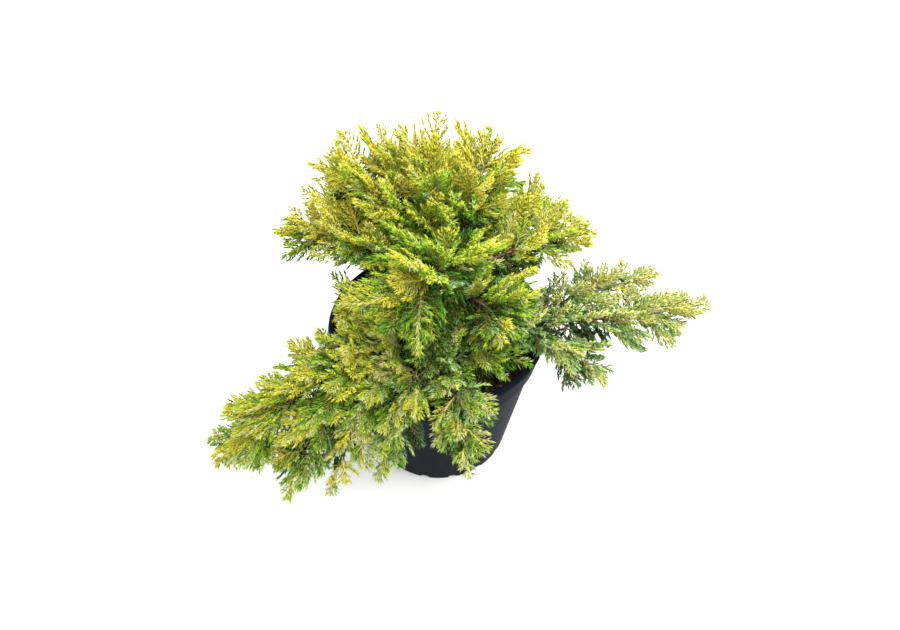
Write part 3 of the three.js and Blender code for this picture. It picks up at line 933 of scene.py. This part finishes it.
def tubes(shoots, rule):
    """One closed, pointed tube for each shoot."""
    rings = []
    for step in range(rule.steps):
        share = step / rule.steps
        across, flatwise = shoots.sides(share)
        radius = lerp(*rule.radii, share)
        centre = shoots.at(share)
        for side in range(rule.sides):
            angle = 2 * math.pi * side / rule.sides
            rings.append(centre + (across * math.cos(angle) + flatwise * math.sin(angle)) * radius)
    sides = range(rule.sides)
    after = [(side + 1) % rule.sides for side in sides]
    faces = [(0, side + 1, side) for side in sides[1:-1]]
    for low in range(0, len(rings) - rule.sides, rule.sides):
        high = low + rule.sides
        for side in sides:
            a, b = low + side, low + after[side]
            faces += [(a, b, high + after[side]), (a, high + after[side], high + side)]
    last, tip = len(rings) - rule.sides, len(rings)
    faces += [(last + side, last + after[side], tip) for side in sides]
    points = np.stack(rings + [shoots.at(1.0)], 1)
    # The bark's tint follows the shoot's gold, and with it the painted light and shade in it.
    return small_bodies(points, np.array(faces), np.digitize(shoots.gold, rule.golds) + rule.first)


def twigs_piece(mass, materials):
    """The twigs and sprays of one mass as joined, pointed tubes."""
    groups = [tubes(mass.twigs, TWIG_TUBES), tubes(mass.sprays, SPRAY_TUBES)]
    return mesh_object("twigs_" + mass.name, groups, materials)


PLASTIC_SHINE = (0.1, 0.14)  # how much less and more rough than the middle the plastic is
PLASTIC_IOR = 1.07
PLASTIC_GLOSS = (0.6, 0.72, 1.0, 1)
# The grey on the bark's ridges is a painted highlight: the share of a strip's colour in it, and the grey
# added.
BARK_RIDGE_HIGHLIGHT = (0.7, 0.14)  # the share of a strip's colour at its edges, and the grey added to it
NODE_STEP = 220


def add_nodes(tree, table, links, **nodes):
    """Shader nodes from a table of names, kinds, properties and inputs, together with the given
    ones. A link is written "node.output > node.input", each socket by its name or number."""

    def socket(sockets, label):
        return sockets[int(label) if label.isdigit() else label]

    for column, (name, kind, properties, inputs) in enumerate(table):
        node = nodes[name] = tree.nodes.new("ShaderNode" + kind)
        node.location = (NODE_STEP * (column - len(table)), NODE_STEP * (column % 3))
        for key, value in properties.items():
            setattr(node, key, value)
        for key, value in inputs.items():
            node.inputs[key].default_value = value
    for link in links:
        (source, output), (target, entry) = (end.split(".") for end in link.split(" > "))
        tree.links.new(socket(nodes[source].outputs, output), socket(nodes[target].inputs, entry))
    return nodes


@functools.cache
def mottle_group():
    """Blotches of three colours with a finer grain, as on soil, bark, plastic and the floor."""
    group = bpy.data.node_groups.new("mottle", "ShaderNodeTree")
    for label, kind, value in (
        ("Dark", "NodeSocketColor", (0.02, 0.02, 0.02, 1)),
        ("Middle", "NodeSocketColor", (0.1, 0.1, 0.1, 1)),
        ("Light", "NodeSocketColor", (0.3, 0.3, 0.3, 1)),
        ("Scale", "NodeSocketFloat", 60.0),
        ("Grain", "NodeSocketFloat", 4.0),
        ("Lean", "NodeSocketFloat", 0.0),
    ):
        socket = group.interface.new_socket(label, in_out="INPUT", socket_type=kind)
        socket.default_value = value
    group.interface.new_socket("Color", in_out="OUTPUT", socket_type="NodeSocketColor")
    group.interface.new_socket("Height", in_out="OUTPUT", socket_type="NodeSocketFloat")
    start = group.nodes.new("NodeGroupInput")
    start.location = (-12 * NODE_STEP, 0)
    end = group.nodes.new("NodeGroupOutput")
    end.location = (NODE_STEP, 0)
    smooth = {"interpolation_type": "SMOOTHSTEP"}
    table = (
        ("place", "TexCoord", {}, {}),
        ("blotch", "TexNoise", {}, {"Detail": 3.0}),
        ("times", "Math", {"operation": "MULTIPLY"}, {}),
        ("grain", "TexNoise", {}, {"Detail": 4.0}),
        ("both", "Math", {"operation": "ADD"}, {}),
        ("lean", "Math", {"operation": "MULTIPLY_ADD", "use_clamp": True}, {1: 0.5}),
        ("low", "MapRange", smooth, {"From Min": 0.34, "From Max": 0.54}),
        ("high", "MapRange", smooth, {"From Min": 0.52, "From Max": 0.74}),
        ("first", "Mix", {"data_type": "RGBA"}, {}),
        ("second", "Mix", {"data_type": "RGBA"}, {}),
    )
    links = (
        "place.Object > blotch.Vector",
        "place.Object > grain.Vector",
        "start.Scale > blotch.Scale",
        "start.Scale > times.0",
        "start.Grain > times.1",
        "times.0 > grain.Scale",
        "blotch.Fac > both.0",
        "grain.Fac > both.1",
        "both.0 > lean.0",
        "start.Lean > lean.2",
        "lean.0 > low.Value",
        "lean.0 > high.Value",
        "low.Result > first.Factor",
        "start.Dark > first.A",
        "start.Middle > first.B",
        "high.Result > second.Factor",
        "first.Result > second.A",
        "start.Light > second.B",
        "second.Result > end.Color",
        "lean.0 > end.Height",
    )
    add_nodes(group, table, links, start=start, end=end)
    return group


def mottled_material(name, colours, scale, grain, roughness, bump, metres):
    """A material whose colour, roughness and relief come from the mottle group, with its nodes.
    bump is the relief's strength and metres its depth."""
    material = bpy.data.materials.new(name)
    material.use_nodes = True
    shader = material.node_tree.nodes["Principled BSDF"]
    dark, middle, light = ((*colour, 1) for colour in colours)
    mottle = {"Dark": dark, "Middle": middle, "Light": light, "Scale": scale, "Grain": grain}
    table = (
        ("mottle", "Group", {"node_tree": mottle_group()}, mottle),
        ("relief", "Bump", {}, {"Strength": bump, "Distance": metres}),
        ("rough", "MapRange", {}, {"To Min": roughness[0], "To Max": roughness[1]}),
    )
    links = (
        "mottle.Height > relief.Height",
        "relief.Normal > shader.Normal",
        "mottle.Color > shader.Base Color",
        "mottle.Height > rough.Value",
        "rough.Result > shader.Roughness",
    )
    return material, add_nodes(material.node_tree, table, links, shader=shader)


def shades(colour, darker, lighter):
    """A colour between a darker and a lighter one, which are multiples of it."""
    return tuple(tuple(part * share for part in colour) for share in (darker, 1.0, lighter))


def plastic_material(settings):
    """Black moulded plastic, dusted with pale soil towards the foot."""
    less, more = PLASTIC_SHINE
    material, nodes = mottled_material(
        "black_plastic",
        shades(settings.plastic_colour, 0.7, 1.5),
        scale=26.0,
        grain=22.0,
        roughness=(settings.shine - less, settings.shine + more),
        bump=0.22,
        metres=0.0004,
    )
    table = (
        ("place", "TexCoord", {}, {}),
        ("split", "SeparateXYZ", {}, {}),
        ("foot", "MapRange", {}, {"From Max": 0.06, "To Min": 1.0, "To Max": 0.0}),
        ("dust", "TexNoise", {}, {"Scale": 45.0, "Detail": 6.0}),
        ("veil", "Math", {"operation": "MULTIPLY", "use_clamp": True}, {}),
        ("thin", "Math", {"operation": "MULTIPLY", "use_clamp": True}, {1: 0.16}),
        ("blend", "Mix", {"data_type": "RGBA"}, {"B": (0.05, 0.042, 0.036, 1)}),
    )
    links = (
        "place.Object > split.Vector",
        "place.Object > dust.Vector",
        "split.Z > foot.Value",
        "foot.Result > veil.0",
        "dust.Fac > veil.1",
        "veil.0 > thin.0",
        "thin.0 > blend.Factor",
        "mottle.Color > blend.A",
        "blend.Result > shader.Base Color",
    )
    add_nodes(material.node_tree, table, links, **nodes)
    nodes["shader"].inputs["IOR"].default_value = PLASTIC_IOR
    nodes["shader"].inputs["Specular Tint"].default_value = PLASTIC_GLOSS
    return material


def bark_material(settings):
    """Shredding bark: dark red furrows, brown strips and grey painted highlights on the ridges of the
    relief.
    """
    furrow, strip = tuple(settings.furrow_colour), tuple(settings.strip_colour)
    share, grey = BARK_RIDGE_HIGHLIGHT
    material, nodes = mottled_material(
        "shredding_bark",
        (furrow, strip, tuple(part * share + grey for part in strip)),
        scale=220.0,
        grain=5.0,
        roughness=(0.72, 0.92),
        bump=0.6,
        metres=0.0006,
    )
    table = (
        ("ridge", "Attribute", {"attribute_name": "ridge"}, {}),
        ("lean", "Math", {"operation": "MULTIPLY"}, {1: 0.34}),
    )
    add_nodes(material.node_tree, table, ("ridge.Fac > lean.0", "lean.0 > mottle.Lean"), **nodes)
    return material


MERGE_DISTANCE = 1e-6  # metres


def finished_object(bm, name, material):
    """A smooth object from a bmesh in metres, its faces turned outwards."""
    bmesh.ops.remove_doubles(bm, verts=bm.verts, dist=MERGE_DISTANCE)
    bmesh.ops.recalc_face_normals(bm, faces=bm.faces)
    mesh = bpy.data.meshes.new(name)
    bm.to_mesh(mesh)
    bm.free()
    mesh.materials.append(material)
    mesh.polygons.foreach_set("use_smooth", [True] * len(mesh.polygons))
    return in_scene(name, mesh)


def spun_bmesh(profile, steps, rounding=0.0):
    """A closed body spun from a profile of (radius, height) in millimetres, its corners rounded."""
    bm = bmesh.new()
    verts = [bm.verts.new((radius * MM, 0, height * MM)) for radius, height in profile]
    for a, b in zip(verts, verts[1:]):
        bm.edges.new((a, b))
    if rounding:
        bmesh.ops.bevel(
            bm,
            geom=verts[1:-1],
            offset=rounding * MM,
            affect="VERTICES",
            segments=3,
            profile=0.5,
            material=-1,
        )
    bmesh.ops.spin(
        bm,
        geom=bm.verts[:] + bm.edges[:],
        cent=(0, 0, 0),
        axis=(0, 0, 1),
        dvec=(0, 0, 0),
        angle=2 * math.pi,
        steps=steps,
        use_merge=True,
    )
    bmesh.ops.remove_doubles(bm, verts=bm.verts, dist=MERGE_DISTANCE)
    return bm


# The pot's finer outline, in millimetres.
POT_STEPS = 144
POT_CORNER = 0.5  # how far its corners are rounded
POT_UNDERSIDE = (86.0, 1.2)  # the inner edge of the foot ring, and how far the middle is raised
POT_SCALLOP = 9.0  # how high the notches dent the wall
POT_HEEL = 3.0  # the slope between the wall and the foot ring
POT_FILLET = 2.0  # the slope between the floor and the wall
POT_LEDGE = (1.0, 2.5)  # how far below and above the shoulder the wall slopes outwards inside
POT_SLOPE = 1.4  # how far a slope steps sideways
POT_LIP_SLOPE = (1.2, -0.6, -2.2)  # heights from the lip's lower edge to where its slopes turn
POT_DRAFT = 0.2  # how much wider the collar is at its top inside
NOTCH_REACH = 3.5  # how high a point may be that a notch raises
NOTCH_INSET = 0.5  # how far inside the foot ring's edge it may be
NOTCH_ROOF = 0.1  # the share of its height that a point keeps under the notch's roof


def pot_profile(lip_round):
    """The pot's outline in millimetres, from inside on its floor over the lip to its underside."""
    shoulder = POT_SHOULDER_HEIGHT
    collar = POT_SHOULDER_RADIUS + POT_COLLAR_STEP
    lip = POT_HEIGHT - POT_LIP_HEIGHT
    ring, raised = POT_UNDERSIDE
    below, above = POT_LEDGE
    upper, middle, lower = POT_LIP_SLOPE
    return (
        (0, POT_FLOOR),
        (pot_inner(POT_FLOOR) - POT_FILLET, POT_FLOOR),
        (pot_inner(POT_FLOOR + POT_FILLET), POT_FLOOR + POT_FILLET),
        (pot_inner(shoulder - below), shoulder - below),
        (collar - POT_WALL - POT_SLOPE, shoulder + above),
        (collar - POT_WALL - POT_DRAFT, POT_HEIGHT - lip_round),
        (collar - POT_WALL + lip_round, POT_HEIGHT),
        (POT_RIM_RADIUS - lip_round, POT_HEIGHT),
        (POT_RIM_RADIUS, POT_HEIGHT - lip_round),
        (POT_RIM_RADIUS, lip + upper),
        (POT_RIM_RADIUS - POT_SLOPE, lip + middle),
        (collar + POT_SLOPE, lip + lower),
        (collar, shoulder + POT_SLOPE),
        (POT_SHOULDER_RADIUS, shoulder - POT_COLLAR_STEP),
        (pot_outer(POT_SCALLOP), POT_SCALLOP),
        (pot_outer(POT_HEEL), POT_HEEL),
        (POT_FOOT_RADIUS - POT_HEEL, 0),
        (ring, 0),
        (ring - raised, raised),
        (0, raised),
    )


def pot_piece(settings):
    """The nursery pot with its collar, rounded lip and the notches that drain its foot."""
    bm = spun_bmesh(pot_profile(settings.lip_round / MM), POT_STEPS, POT_CORNER)
    half = settings.notch_width / 2 / (POT_FOOT_RADIUS * MM)
    inner_edge = (POT_UNDERSIDE[0] - NOTCH_INSET) * MM
    for vert in bm.verts:
        radius = math.hypot(vert.co.x, vert.co.y)
        turn = math.atan2(vert.co.y, vert.co.x) * settings.notches / (2 * math.pi) - 0.5
        aside = abs(turn - round(turn)) * 2 * math.pi / settings.notches
        if vert.co.z < NOTCH_REACH * MM and radius > inner_edge and aside < half:
            vert.co.z = settings.notch_height + vert.co.z * NOTCH_ROOF
            inward = 1 - settings.notch_depth / radius
            vert.co.x *= inward
            vert.co.y *= inward
    return finished_object(bm, "nursery_pot", plastic_material(settings))


# The soil's surface and the chips on it, in millimetres and as shares of a chip's length.
SOIL_RINGS = 44
SOIL_STEPS = 180
SOIL_HEAP = 24.0  # the radius of the heap's top round the trunk
SOIL_RISE = 1.5  # how much higher than its edge the soil is half way to the heap
SOIL_EASE = 6.0  # how far from the wall the lumps have their full height
LUMPS_FROM = 2.0  # how far above the pot's shoulder the surface has lumps
LUMP_SCALE = 70.0
LUMP_NOISE = (0.7, 2.1, 4)
LUMP_LEVEL = (0.8, 0.5)  # what the noise is multiplied by and lowered by
CHIP_EDGE = 4.0
CHIP_NEAREST = 0.012  # how near the axis the innermost lie, as a share of the soil's area
CHIP_VARY = 0.42
CHIP_WIDTH = (0.5, 0.95)
CHIP_THICKNESS = (0.25, 0.7)
CHIP_FLATNESS = 0.6
CHIP_REACH = 0.6  # the share of its length that a chip keeps from the wall
CHIP_SUNK = (0.2, 0.6)  # the share of its thickness that raises it, and how deep it lies
CHIP_CORNERS = (0.7, 1.25)  # how far its corners stand out, least and most
STRAW_SHARE = 0.14
STRAW_SHAPE = (2.4, 0.5, 0.4)


def soil_height(radius):
    """The level of the soil, in millimetres, at a distance from the pot's axis."""
    edge = pot_inner(SOIL_EDGE)
    places = (SOIL_HEAP, (SOIL_HEAP + edge) / 2, edge)
    return np.interp(radius, places, (SOIL_MIDDLE, SOIL_EDGE + SOIL_RISE, SOIL_EDGE))


def soil_piece(settings):
    """The potting soil: a lumpy surface on a closed body that fills the pot."""
    edge = float(pot_inner(SOIL_EDGE)) - SOIL_GAP
    shoulder = POT_SHOULDER_HEIGHT
    bottom = POT_FLOOR + SOIL_GAP
    rings = [edge * i / SOIL_RINGS for i in range(SOIL_RINGS)]
    top = [(radius, float(soil_height(radius))) for radius in rings]
    sides = [(edge, SOIL_EDGE), (pot_inner(shoulder) - SOIL_GAP, shoulder)]
    foot = [(pot_inner(bottom) - SOIL_GAP, bottom), (0, bottom)]
    bm = spun_bmesh(top + sides + foot, SOIL_STEPS)
    strength, lowered = LUMP_LEVEL
    for vert in bm.verts:
        if vert.co.z > (shoulder + LUMPS_FROM) * MM:
            radius = math.hypot(vert.co.x, vert.co.y) / MM
            inward = min(1.0, (edge - radius) / SOIL_EASE)
            rise = noise.fractal(vert.co * LUMP_SCALE, *LUMP_NOISE)
            vert.co.z += settings.lump_height * (rise * strength - lowered) * inward
    material, _ = mottled_material(
        "potting_compost",
        ((0.004, 0.0025, 0.002), tuple(settings.soil_colour), (0.05, 0.03, 0.018)),
        scale=160.0,
        grain=6.0,
        roughness=(0.85, 1.0),
        bump=0.9,
        metres=0.0012,
    )
    return finished_object(bm, "potting_compost", material)


def random_turns(count, rng):
    """Rotation matrices, evenly spread over every direction."""
    q = unit(rng.normal(size=(count, 4)))
    w, x, y, z = q.T
    return np.array(
        [
            [1 - 2 * (y * y + z * z), 2 * (x * y - w * z), 2 * (x * z + w * y)],
            [2 * (x * y + w * z), 1 - 2 * (x * x + z * z), 2 * (y * z - w * x)],
            [2 * (x * z - w * y), 2 * (y * z + w * x), 1 - 2 * (x * x + y * y)],
        ]
    ).transpose(2, 0, 1)


def lump_arrays(rng):
    """The corners and faces of one small angular lump, a millimetre in radius."""
    bm = bmesh.new()
    bmesh.ops.create_icosphere(bm, subdivisions=1, radius=1.0)
    points = np.array([vert.co for vert in bm.verts])
    faces = np.array([[vert.index for vert in face.verts] for face in bm.faces])
    bm.free()
    return points * rng.uniform(*CHIP_CORNERS, (len(points), 1)), faces


def chips_piece(settings):
    """Crumbs, bark chips and straw that lie on the soil."""
    rng = np.random.default_rng([SEED, CHIP_DRAWS])
    count = settings.crumbs
    edge = float(pot_inner(SOIL_EDGE)) - CHIP_EDGE
    radius = edge * np.sqrt(rng.uniform(CHIP_NEAREST, 1, count))
    angle = rng.uniform(0, 2 * math.pi, count)
    size = rng.lognormal(math.log(settings.crumb_size / MM / 2), CHIP_VARY, count)
    width = size * rng.uniform(*CHIP_WIDTH, count)
    shape = np.stack([size, width, size * rng.uniform(*CHIP_THICKNESS, count)], 1)
    slim = rng.random(count) < STRAW_SHARE
    shape[slim] *= STRAW_SHAPE
    radius = np.minimum(radius, edge - shape[:, 0] * CHIP_REACH)
    raised, sunk = CHIP_SUNK
    height = soil_height(radius) + shape[:, 2] * raised - sunk
    lump, faces = lump_arrays(rng)
    tilt = random_turns(count, rng)
    points = np.einsum("nij,npj->npi", tilt, lump[None] * shape[:, None])
    points[:, :, 2] *= CHIP_FLATNESS
    points += np.stack([radius * np.cos(angle), radius * np.sin(angle), height - SOIL_TOP], 1)[:, None]
    tints = np.where(slim, rng.integers(2, 4, count), rng.integers(0, 3, count))
    materials = tint_materials("", CHIP_TINTS, *CHIP_FINISH)
    return mesh_object("soil_chips", [small_bodies(points, faces, tints)], materials)


# The limbs, in millimetres. Each layer of the bark's relief has a scale round the limb, one along
# it, and a strength.
BARK_LAYERS = ((1.0, 0.045, 1.5), (2.7, 0.12, 0.6))
BARK_TWIST = 0.006
BARK_DEPTH = 0.16  # the most that it stands out, as a share of the limb's radius
BARK_SHIFT = 7.3  # how far apart the limbs' patterns are
TRUNK_FORM = (44, 56)
LIMB_SIDES = 14
LIMB_STEP = 3.5
COLLAR_SWELL = (0.55, 9.0)  # how much a limb swells where it leaves, and over how many millimetres


def bark_relief(angle, along, strip, seed):
    """How far the bark stands out, from -1 in a furrow to 1 on a strip. along and strip are in
    millimetres, and strip is the distance round the limb that a strip takes up."""
    turn = angle + along * BARK_TWIST
    x = math.cos(turn) * strip
    y = math.sin(turn) * strip
    height = 0.0
    for scale, stretch, strength in BARK_LAYERS:
        height += strength * noise.noise(Vector((x * scale, y * scale, along * stretch + seed)))
    return max(-1.0, min(1.0, height))


@dataclass
class LimbForm:
    """What a limb of bark is drawn from: a curve, its radius in millimetres and its fineness."""

    name: str
    node: str
    curve: Curve
    radius_at: object
    sides: int
    steps: int
    level: bool


def limb_piece(form, settings, material, seed):
    """A limb with the bark's relief: a ring that is extruded along its curve and closed."""
    bm = bmesh.new()
    turn = bm.verts.layers.float.new("turn")
    ridge = bm.verts.layers.float.new("ridge")
    ring = bmesh.ops.create_circle(bm, cap_ends=False, segments=form.sides, radius=1.0)["verts"]
    for vert in ring:
        vert[turn] = math.atan2(vert.co.y, vert.co.x)
    edges = bm.edges[:]
    strip_width = settings.strip_width / MM
    length = form.curve.length()
    for step in range(form.steps + 1):
        if step:
            grown = bmesh.ops.extrude_edge_only(bm, edges=edges)["geom"]
            ring = [item for item in grown if isinstance(item, bmesh.types.BMVert)]
            ends = set(ring)
            edges = dict.fromkeys(edge for vert in ring for edge in vert.link_edges)
            edges = [edge for edge in edges if ends.issuperset(edge.verts)]
        share = step / form.steps
        centre = form.curve.at(share)
        if form.level:
            across, up = np.eye(3)[:2]
        else:
            across, up = across_and_up(unit(form.curve.slope(share)))
        for vert in ring:
            radius = float(form.radius_at(share, vert[turn]))
            stands = bark_relief(vert[turn], share * length, max(radius, 1.0) / strip_width, seed)
            vert[ridge] = stands
            radius += stands * min(settings.relief / MM, radius * BARK_DEPTH)
            place = centre + across * math.cos(vert[turn]) * radius + up * math.sin(vert[turn]) * radius
            vert.co = place * MM + np.array([0, 0, SOIL_TOP * MM])
    bmesh.ops.holes_fill(bm, edges=bm.edges, sides=0)
    return finished_object(bm, form.name, material)


def limb_forms():
    """The trunk and every bough with the stem of its foliage."""
    yield LimbForm("trunk_bark", "trunk", TRUNK_CURVE, trunk_radius, *TRUNK_FORM, True)
    for bough in boughs():

        def radius_at(share, angle, bough=bough):
            swell, reach = COLLAR_SWELL
            return bough.limb_radius(share) * (1 + swell * math.exp(-share * bough.length / reach))

        steps = round(bough.length / LIMB_STEP)
        name = "limb_" + bough.name
        yield LimbForm(name, "bough_" + bough.name, bough.curve, radius_at, LIMB_SIDES, steps, False)


# The roughness and the gloss of the plain finishes.
NEEDLE_FINISH = (0.5, 0.14)
TWIG_FINISH = (0.7, 0.35)
CHIP_FINISH = (0.9, 0.35)

# The lights: name, place, size and share of the key light's power. They look at the plant's heart.
HEART = (0.03, 0.0, 0.25)
LIGHTS = (
    ("key", (0.6, -1.2, 4.0), 1.8, 1.0),
    ("fill", (3.0, -1.8, 2.2), 2.8, 0.4),
    ("back", (0.6, 3.0, 3.2), 2.4, 0.4),
)
FLOOR_SIZE = 6.0
SENSOR_WIDTH = 36.0


class JUNIPER_PG_pot(bpy.types.PropertyGroup):
    notches: IntProperty(name="Notches", description="Drain notches round the foot", default=16, min=0)
    notch_width: FloatProperty(
        name="Notch width", description="Width of a drain notch", default=0.009, unit="LENGTH"
    )
    notch_height: FloatProperty(
        name="Notch height", description="Height of a drain notch", default=0.004, unit="LENGTH"
    )
    notch_depth: FloatProperty(
        name="Notch depth", description="How far a notch reaches inwards", default=0.003, unit="LENGTH"
    )
    lip_round: FloatProperty(
        name="Lip rounding", description="How round the lip's edges are", default=0.0014, unit="LENGTH"
    )
    plastic_colour: FloatVectorProperty(
        name="Plastic", description="Colour of the plastic", default=(0.006, 0.0074, 0.0118), subtype="COLOR"
    )
    shine: FloatProperty(name="Roughness", description="How matt the plastic is", default=0.46)


class JUNIPER_PG_soil(bpy.types.PropertyGroup):
    crumbs: IntProperty(name="Crumbs", description="How many crumbs and chips lie on it", default=1500)
    crumb_size: FloatProperty(
        name="Crumb size", description="Length of an average crumb", default=0.0042, unit="LENGTH"
    )
    lump_height: FloatProperty(
        name="Lump height", description="How uneven the surface is", default=0.004, unit="LENGTH"
    )
    soil_colour: FloatVectorProperty(
        name="Soil", description="Colour of the soil", default=(0.013, 0.0075, 0.005), subtype="COLOR"
    )


class JUNIPER_PG_bark(bpy.types.PropertyGroup):
    relief: FloatProperty(
        name="Relief", description="How far the strips stand out", default=0.0007, unit="LENGTH"
    )
    strip_width: FloatProperty(
        name="Strip width", description="Width of a strip of bark", default=0.0022, unit="LENGTH"
    )
    furrow_colour: FloatVectorProperty(
        name="Furrows", description="Colour between the strips", default=(0.05, 0.019, 0.01), subtype="COLOR"
    )
    strip_colour: FloatVectorProperty(
        name="Strips", description="Colour of the strips", default=(0.2, 0.095, 0.05), subtype="COLOR"
    )


class JUNIPER_PG_foliage(bpy.types.PropertyGroup):
    seed: IntProperty(name="Seed", description="Another one grows other fine shoots", default=SEED, min=0)
    needle_scale: FloatProperty(
        name="Needle size", description="What the needles' length and width are multiplied by", default=1.0
    )
    more_gold: FloatProperty(
        name="More gold", description="How far the sprays move towards gold, from 0 to 1", default=0.0
    )
    tint: FloatVectorProperty(
        name="Tint",
        description="What the colour of every needle is multiplied by",
        default=(1.0, 1.0, 1.0),
        subtype="COLOR",
    )


class JUNIPER_PG_stage(bpy.types.PropertyGroup):
    camera_place: FloatVectorProperty(
        name="Camera", description="Where the camera stands", default=(0.015, -0.528, 0.783), subtype="XYZ"
    )
    camera_pitch: FloatProperty(
        name="Pitch",
        description="How far the camera looks down",
        default=math.radians(46.8),
        subtype="ANGLE",
    )
    lens: FloatProperty(name="Lens", description="Focal length in millimetres", default=26.0)
    key_power: FloatProperty(name="Key light", description="Power of the key light", default=158.0)
    sky: FloatProperty(name="Sky", description="Strength of the even light", default=1.3)
    floor_colour: FloatVectorProperty(
        name="Floor", description="Colour of the floor", default=(0.86, 0.86, 0.85), subtype="COLOR"
    )


class JUNIPER_OT_pot(bpy.types.Operator):
    """Build the nursery pot"""

    bl_idname = "juniper.pot"
    bl_label = "Nursery pot"

    def execute(self, context):
        piece = pot_piece(context.scene.juniper_pot)
        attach(piece, "root")
        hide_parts("pot")
        return {"FINISHED"}


class JUNIPER_OT_soil(bpy.types.Operator):
    """Build the potting soil with its crumbs and chips"""

    bl_idname = "juniper.soil"
    bl_label = "Potting soil"

    def execute(self, context):
        settings = context.scene.juniper_soil
        for piece in (soil_piece(settings), chips_piece(settings)):
            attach(piece, "root")
            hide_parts("potting_soil")
        return {"FINISHED"}


class JUNIPER_OT_bark(bpy.types.Operator):
    """Build the trunk and the boughs with the relief of their bark"""

    bl_idname = "juniper.bark"
    bl_label = "Trunk and boughs"

    def execute(self, context):
        settings = context.scene.juniper_bark
        material = bark_material(settings)
        for number, form in enumerate(limb_forms()):
            piece = limb_piece(form, settings, material, number * BARK_SHIFT)
            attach(piece, "root")
            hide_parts(form.node)
        return {"FINISHED"}


class JUNIPER_OT_twigs(bpy.types.Operator):
    """Build the twigs and sprays of every mass"""

    bl_idname = "juniper.twigs"
    bl_label = "Twigs"

    def execute(self, context):
        materials = tint_materials("twig_", TWIG_TINTS, *TWIG_FINISH)
        for mass in masses(context.scene.juniper_foliage.seed):
            piece = twigs_piece(mass, materials)
            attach(piece, "root")
            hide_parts("foliage_" + mass.name)
        return {"FINISHED"}


class JUNIPER_OT_needles(bpy.types.Operator):
    """Build the needles of every mass"""

    bl_idname = "juniper.needles"
    bl_label = "Needles"

    def execute(self, context):
        settings = context.scene.juniper_foliage
        tints = NEEDLE_TINTS + COOL_TINTS
        materials = tint_materials("needle_", tints, *NEEDLE_FINISH, settings.tint)
        for number, mass in enumerate(masses(settings.seed)):
            piece = needles_piece(mass, number, settings, materials)
            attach(piece, "root")
            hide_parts("foliage_" + mass.name)
        return {"FINISHED"}


class JUNIPER_OT_stage(bpy.types.Operator):
    """Lay the floor, hang the lights and stand the camera"""

    bl_idname = "juniper.stage"
    bl_label = "Stage"

    def execute(self, context):
        settings = context.scene.juniper_stage
        scene = context.scene
        bm = bmesh.new()
        bmesh.ops.create_grid(bm, x_segments=1, y_segments=1, size=FLOOR_SIZE)
        material, _ = mottled_material(
            "studio_floor",
            shades(settings.floor_colour, 0.97, 1.02),
            scale=3.0,
            grain=4.0,
            roughness=(0.8, 0.9),
            bump=0.02,
            metres=0.001,
        )
        floor = finished_object(bm, "studio_floor", material)
        floor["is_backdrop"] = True
        world = bpy.data.worlds.new("studio")
        world.use_nodes = True
        background = world.node_tree.nodes["Background"]
        background.inputs["Color"].default_value = (1.0, 1.0, 1.0, 1)
        background.inputs["Strength"].default_value = settings.sky
        scene.world = world
        for name, place, size, share in LIGHTS:
            lamp = bpy.data.lights.new(name, "AREA")
            lamp.energy = settings.key_power * share
            lamp.size = size
            light = in_scene(name, lamp)
            light.location = place
            aim = Vector(HEART) - Vector(place)
            light.rotation_euler = aim.to_track_quat("-Z", "Y").to_euler()
        lens = bpy.data.cameras.new("photo_camera")
        lens.lens = settings.lens
        lens.sensor_width = SENSOR_WIDTH
        camera = in_scene("photo_camera", lens)
        camera.location = settings.camera_place
        camera.rotation_euler = (math.pi / 2 - settings.camera_pitch, 0, 0)
        scene.camera = camera
        scene.view_settings.view_transform = "Standard"
        return {"FINISHED"}


OPERATORS = (
    JUNIPER_OT_pot,
    JUNIPER_OT_soil,
    JUNIPER_OT_bark,
    JUNIPER_OT_twigs,
    JUNIPER_OT_needles,
    JUNIPER_OT_stage,
)
SETTINGS = {
    "juniper_pot": JUNIPER_PG_pot,
    "juniper_soil": JUNIPER_PG_soil,
    "juniper_bark": JUNIPER_PG_bark,
    "juniper_foliage": JUNIPER_PG_foliage,
    "juniper_stage": JUNIPER_PG_stage,
}


class JUNIPER_PT_panel(bpy.types.Panel):
    """The juniper's pieces in the order in which they are built"""

    bl_label = "Juniper"
    bl_idname = "JUNIPER_PT_panel"
    bl_space_type = "VIEW_3D"
    bl_region_type = "UI"
    bl_category = "Juniper"

    def draw(self, context):
        for operator in OPERATORS:
            self.layout.operator(operator.bl_idname)
        for name in SETTINGS:
            box = self.layout.box()
            group = getattr(context.scene, name)
            for key in group.bl_rna.properties.keys():
                if key not in {"rna_type", "name"}:
                    box.prop(group, key)


def register():
    for cls in (*SETTINGS.values(), *OPERATORS, JUNIPER_PT_panel):
        bpy.utils.register_class(cls)
    for name, group in SETTINGS.items():
        setattr(bpy.types.Scene, name, PointerProperty(type=group))


def unregister():
    for name in SETTINGS:
        delattr(bpy.types.Scene, name)
    for cls in (JUNIPER_PT_panel, *reversed(OPERATORS), *reversed(SETTINGS.values())):
        bpy.utils.unregister_class(cls)


def main():
    """Build every piece and work out the boxes of the frame and of the finished model."""
    register()
    bpy.ops.juniper.pot()
    bpy.ops.juniper.soil()
    bpy.ops.juniper.bark()
    bpy.ops.juniper.twigs()
    bpy.ops.juniper.needles()
    bpy.ops.juniper.stage()
    boxes = [[list(corner) for corner in box] for box in (cad_box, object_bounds())]


if __name__ == "__main__":
    main()
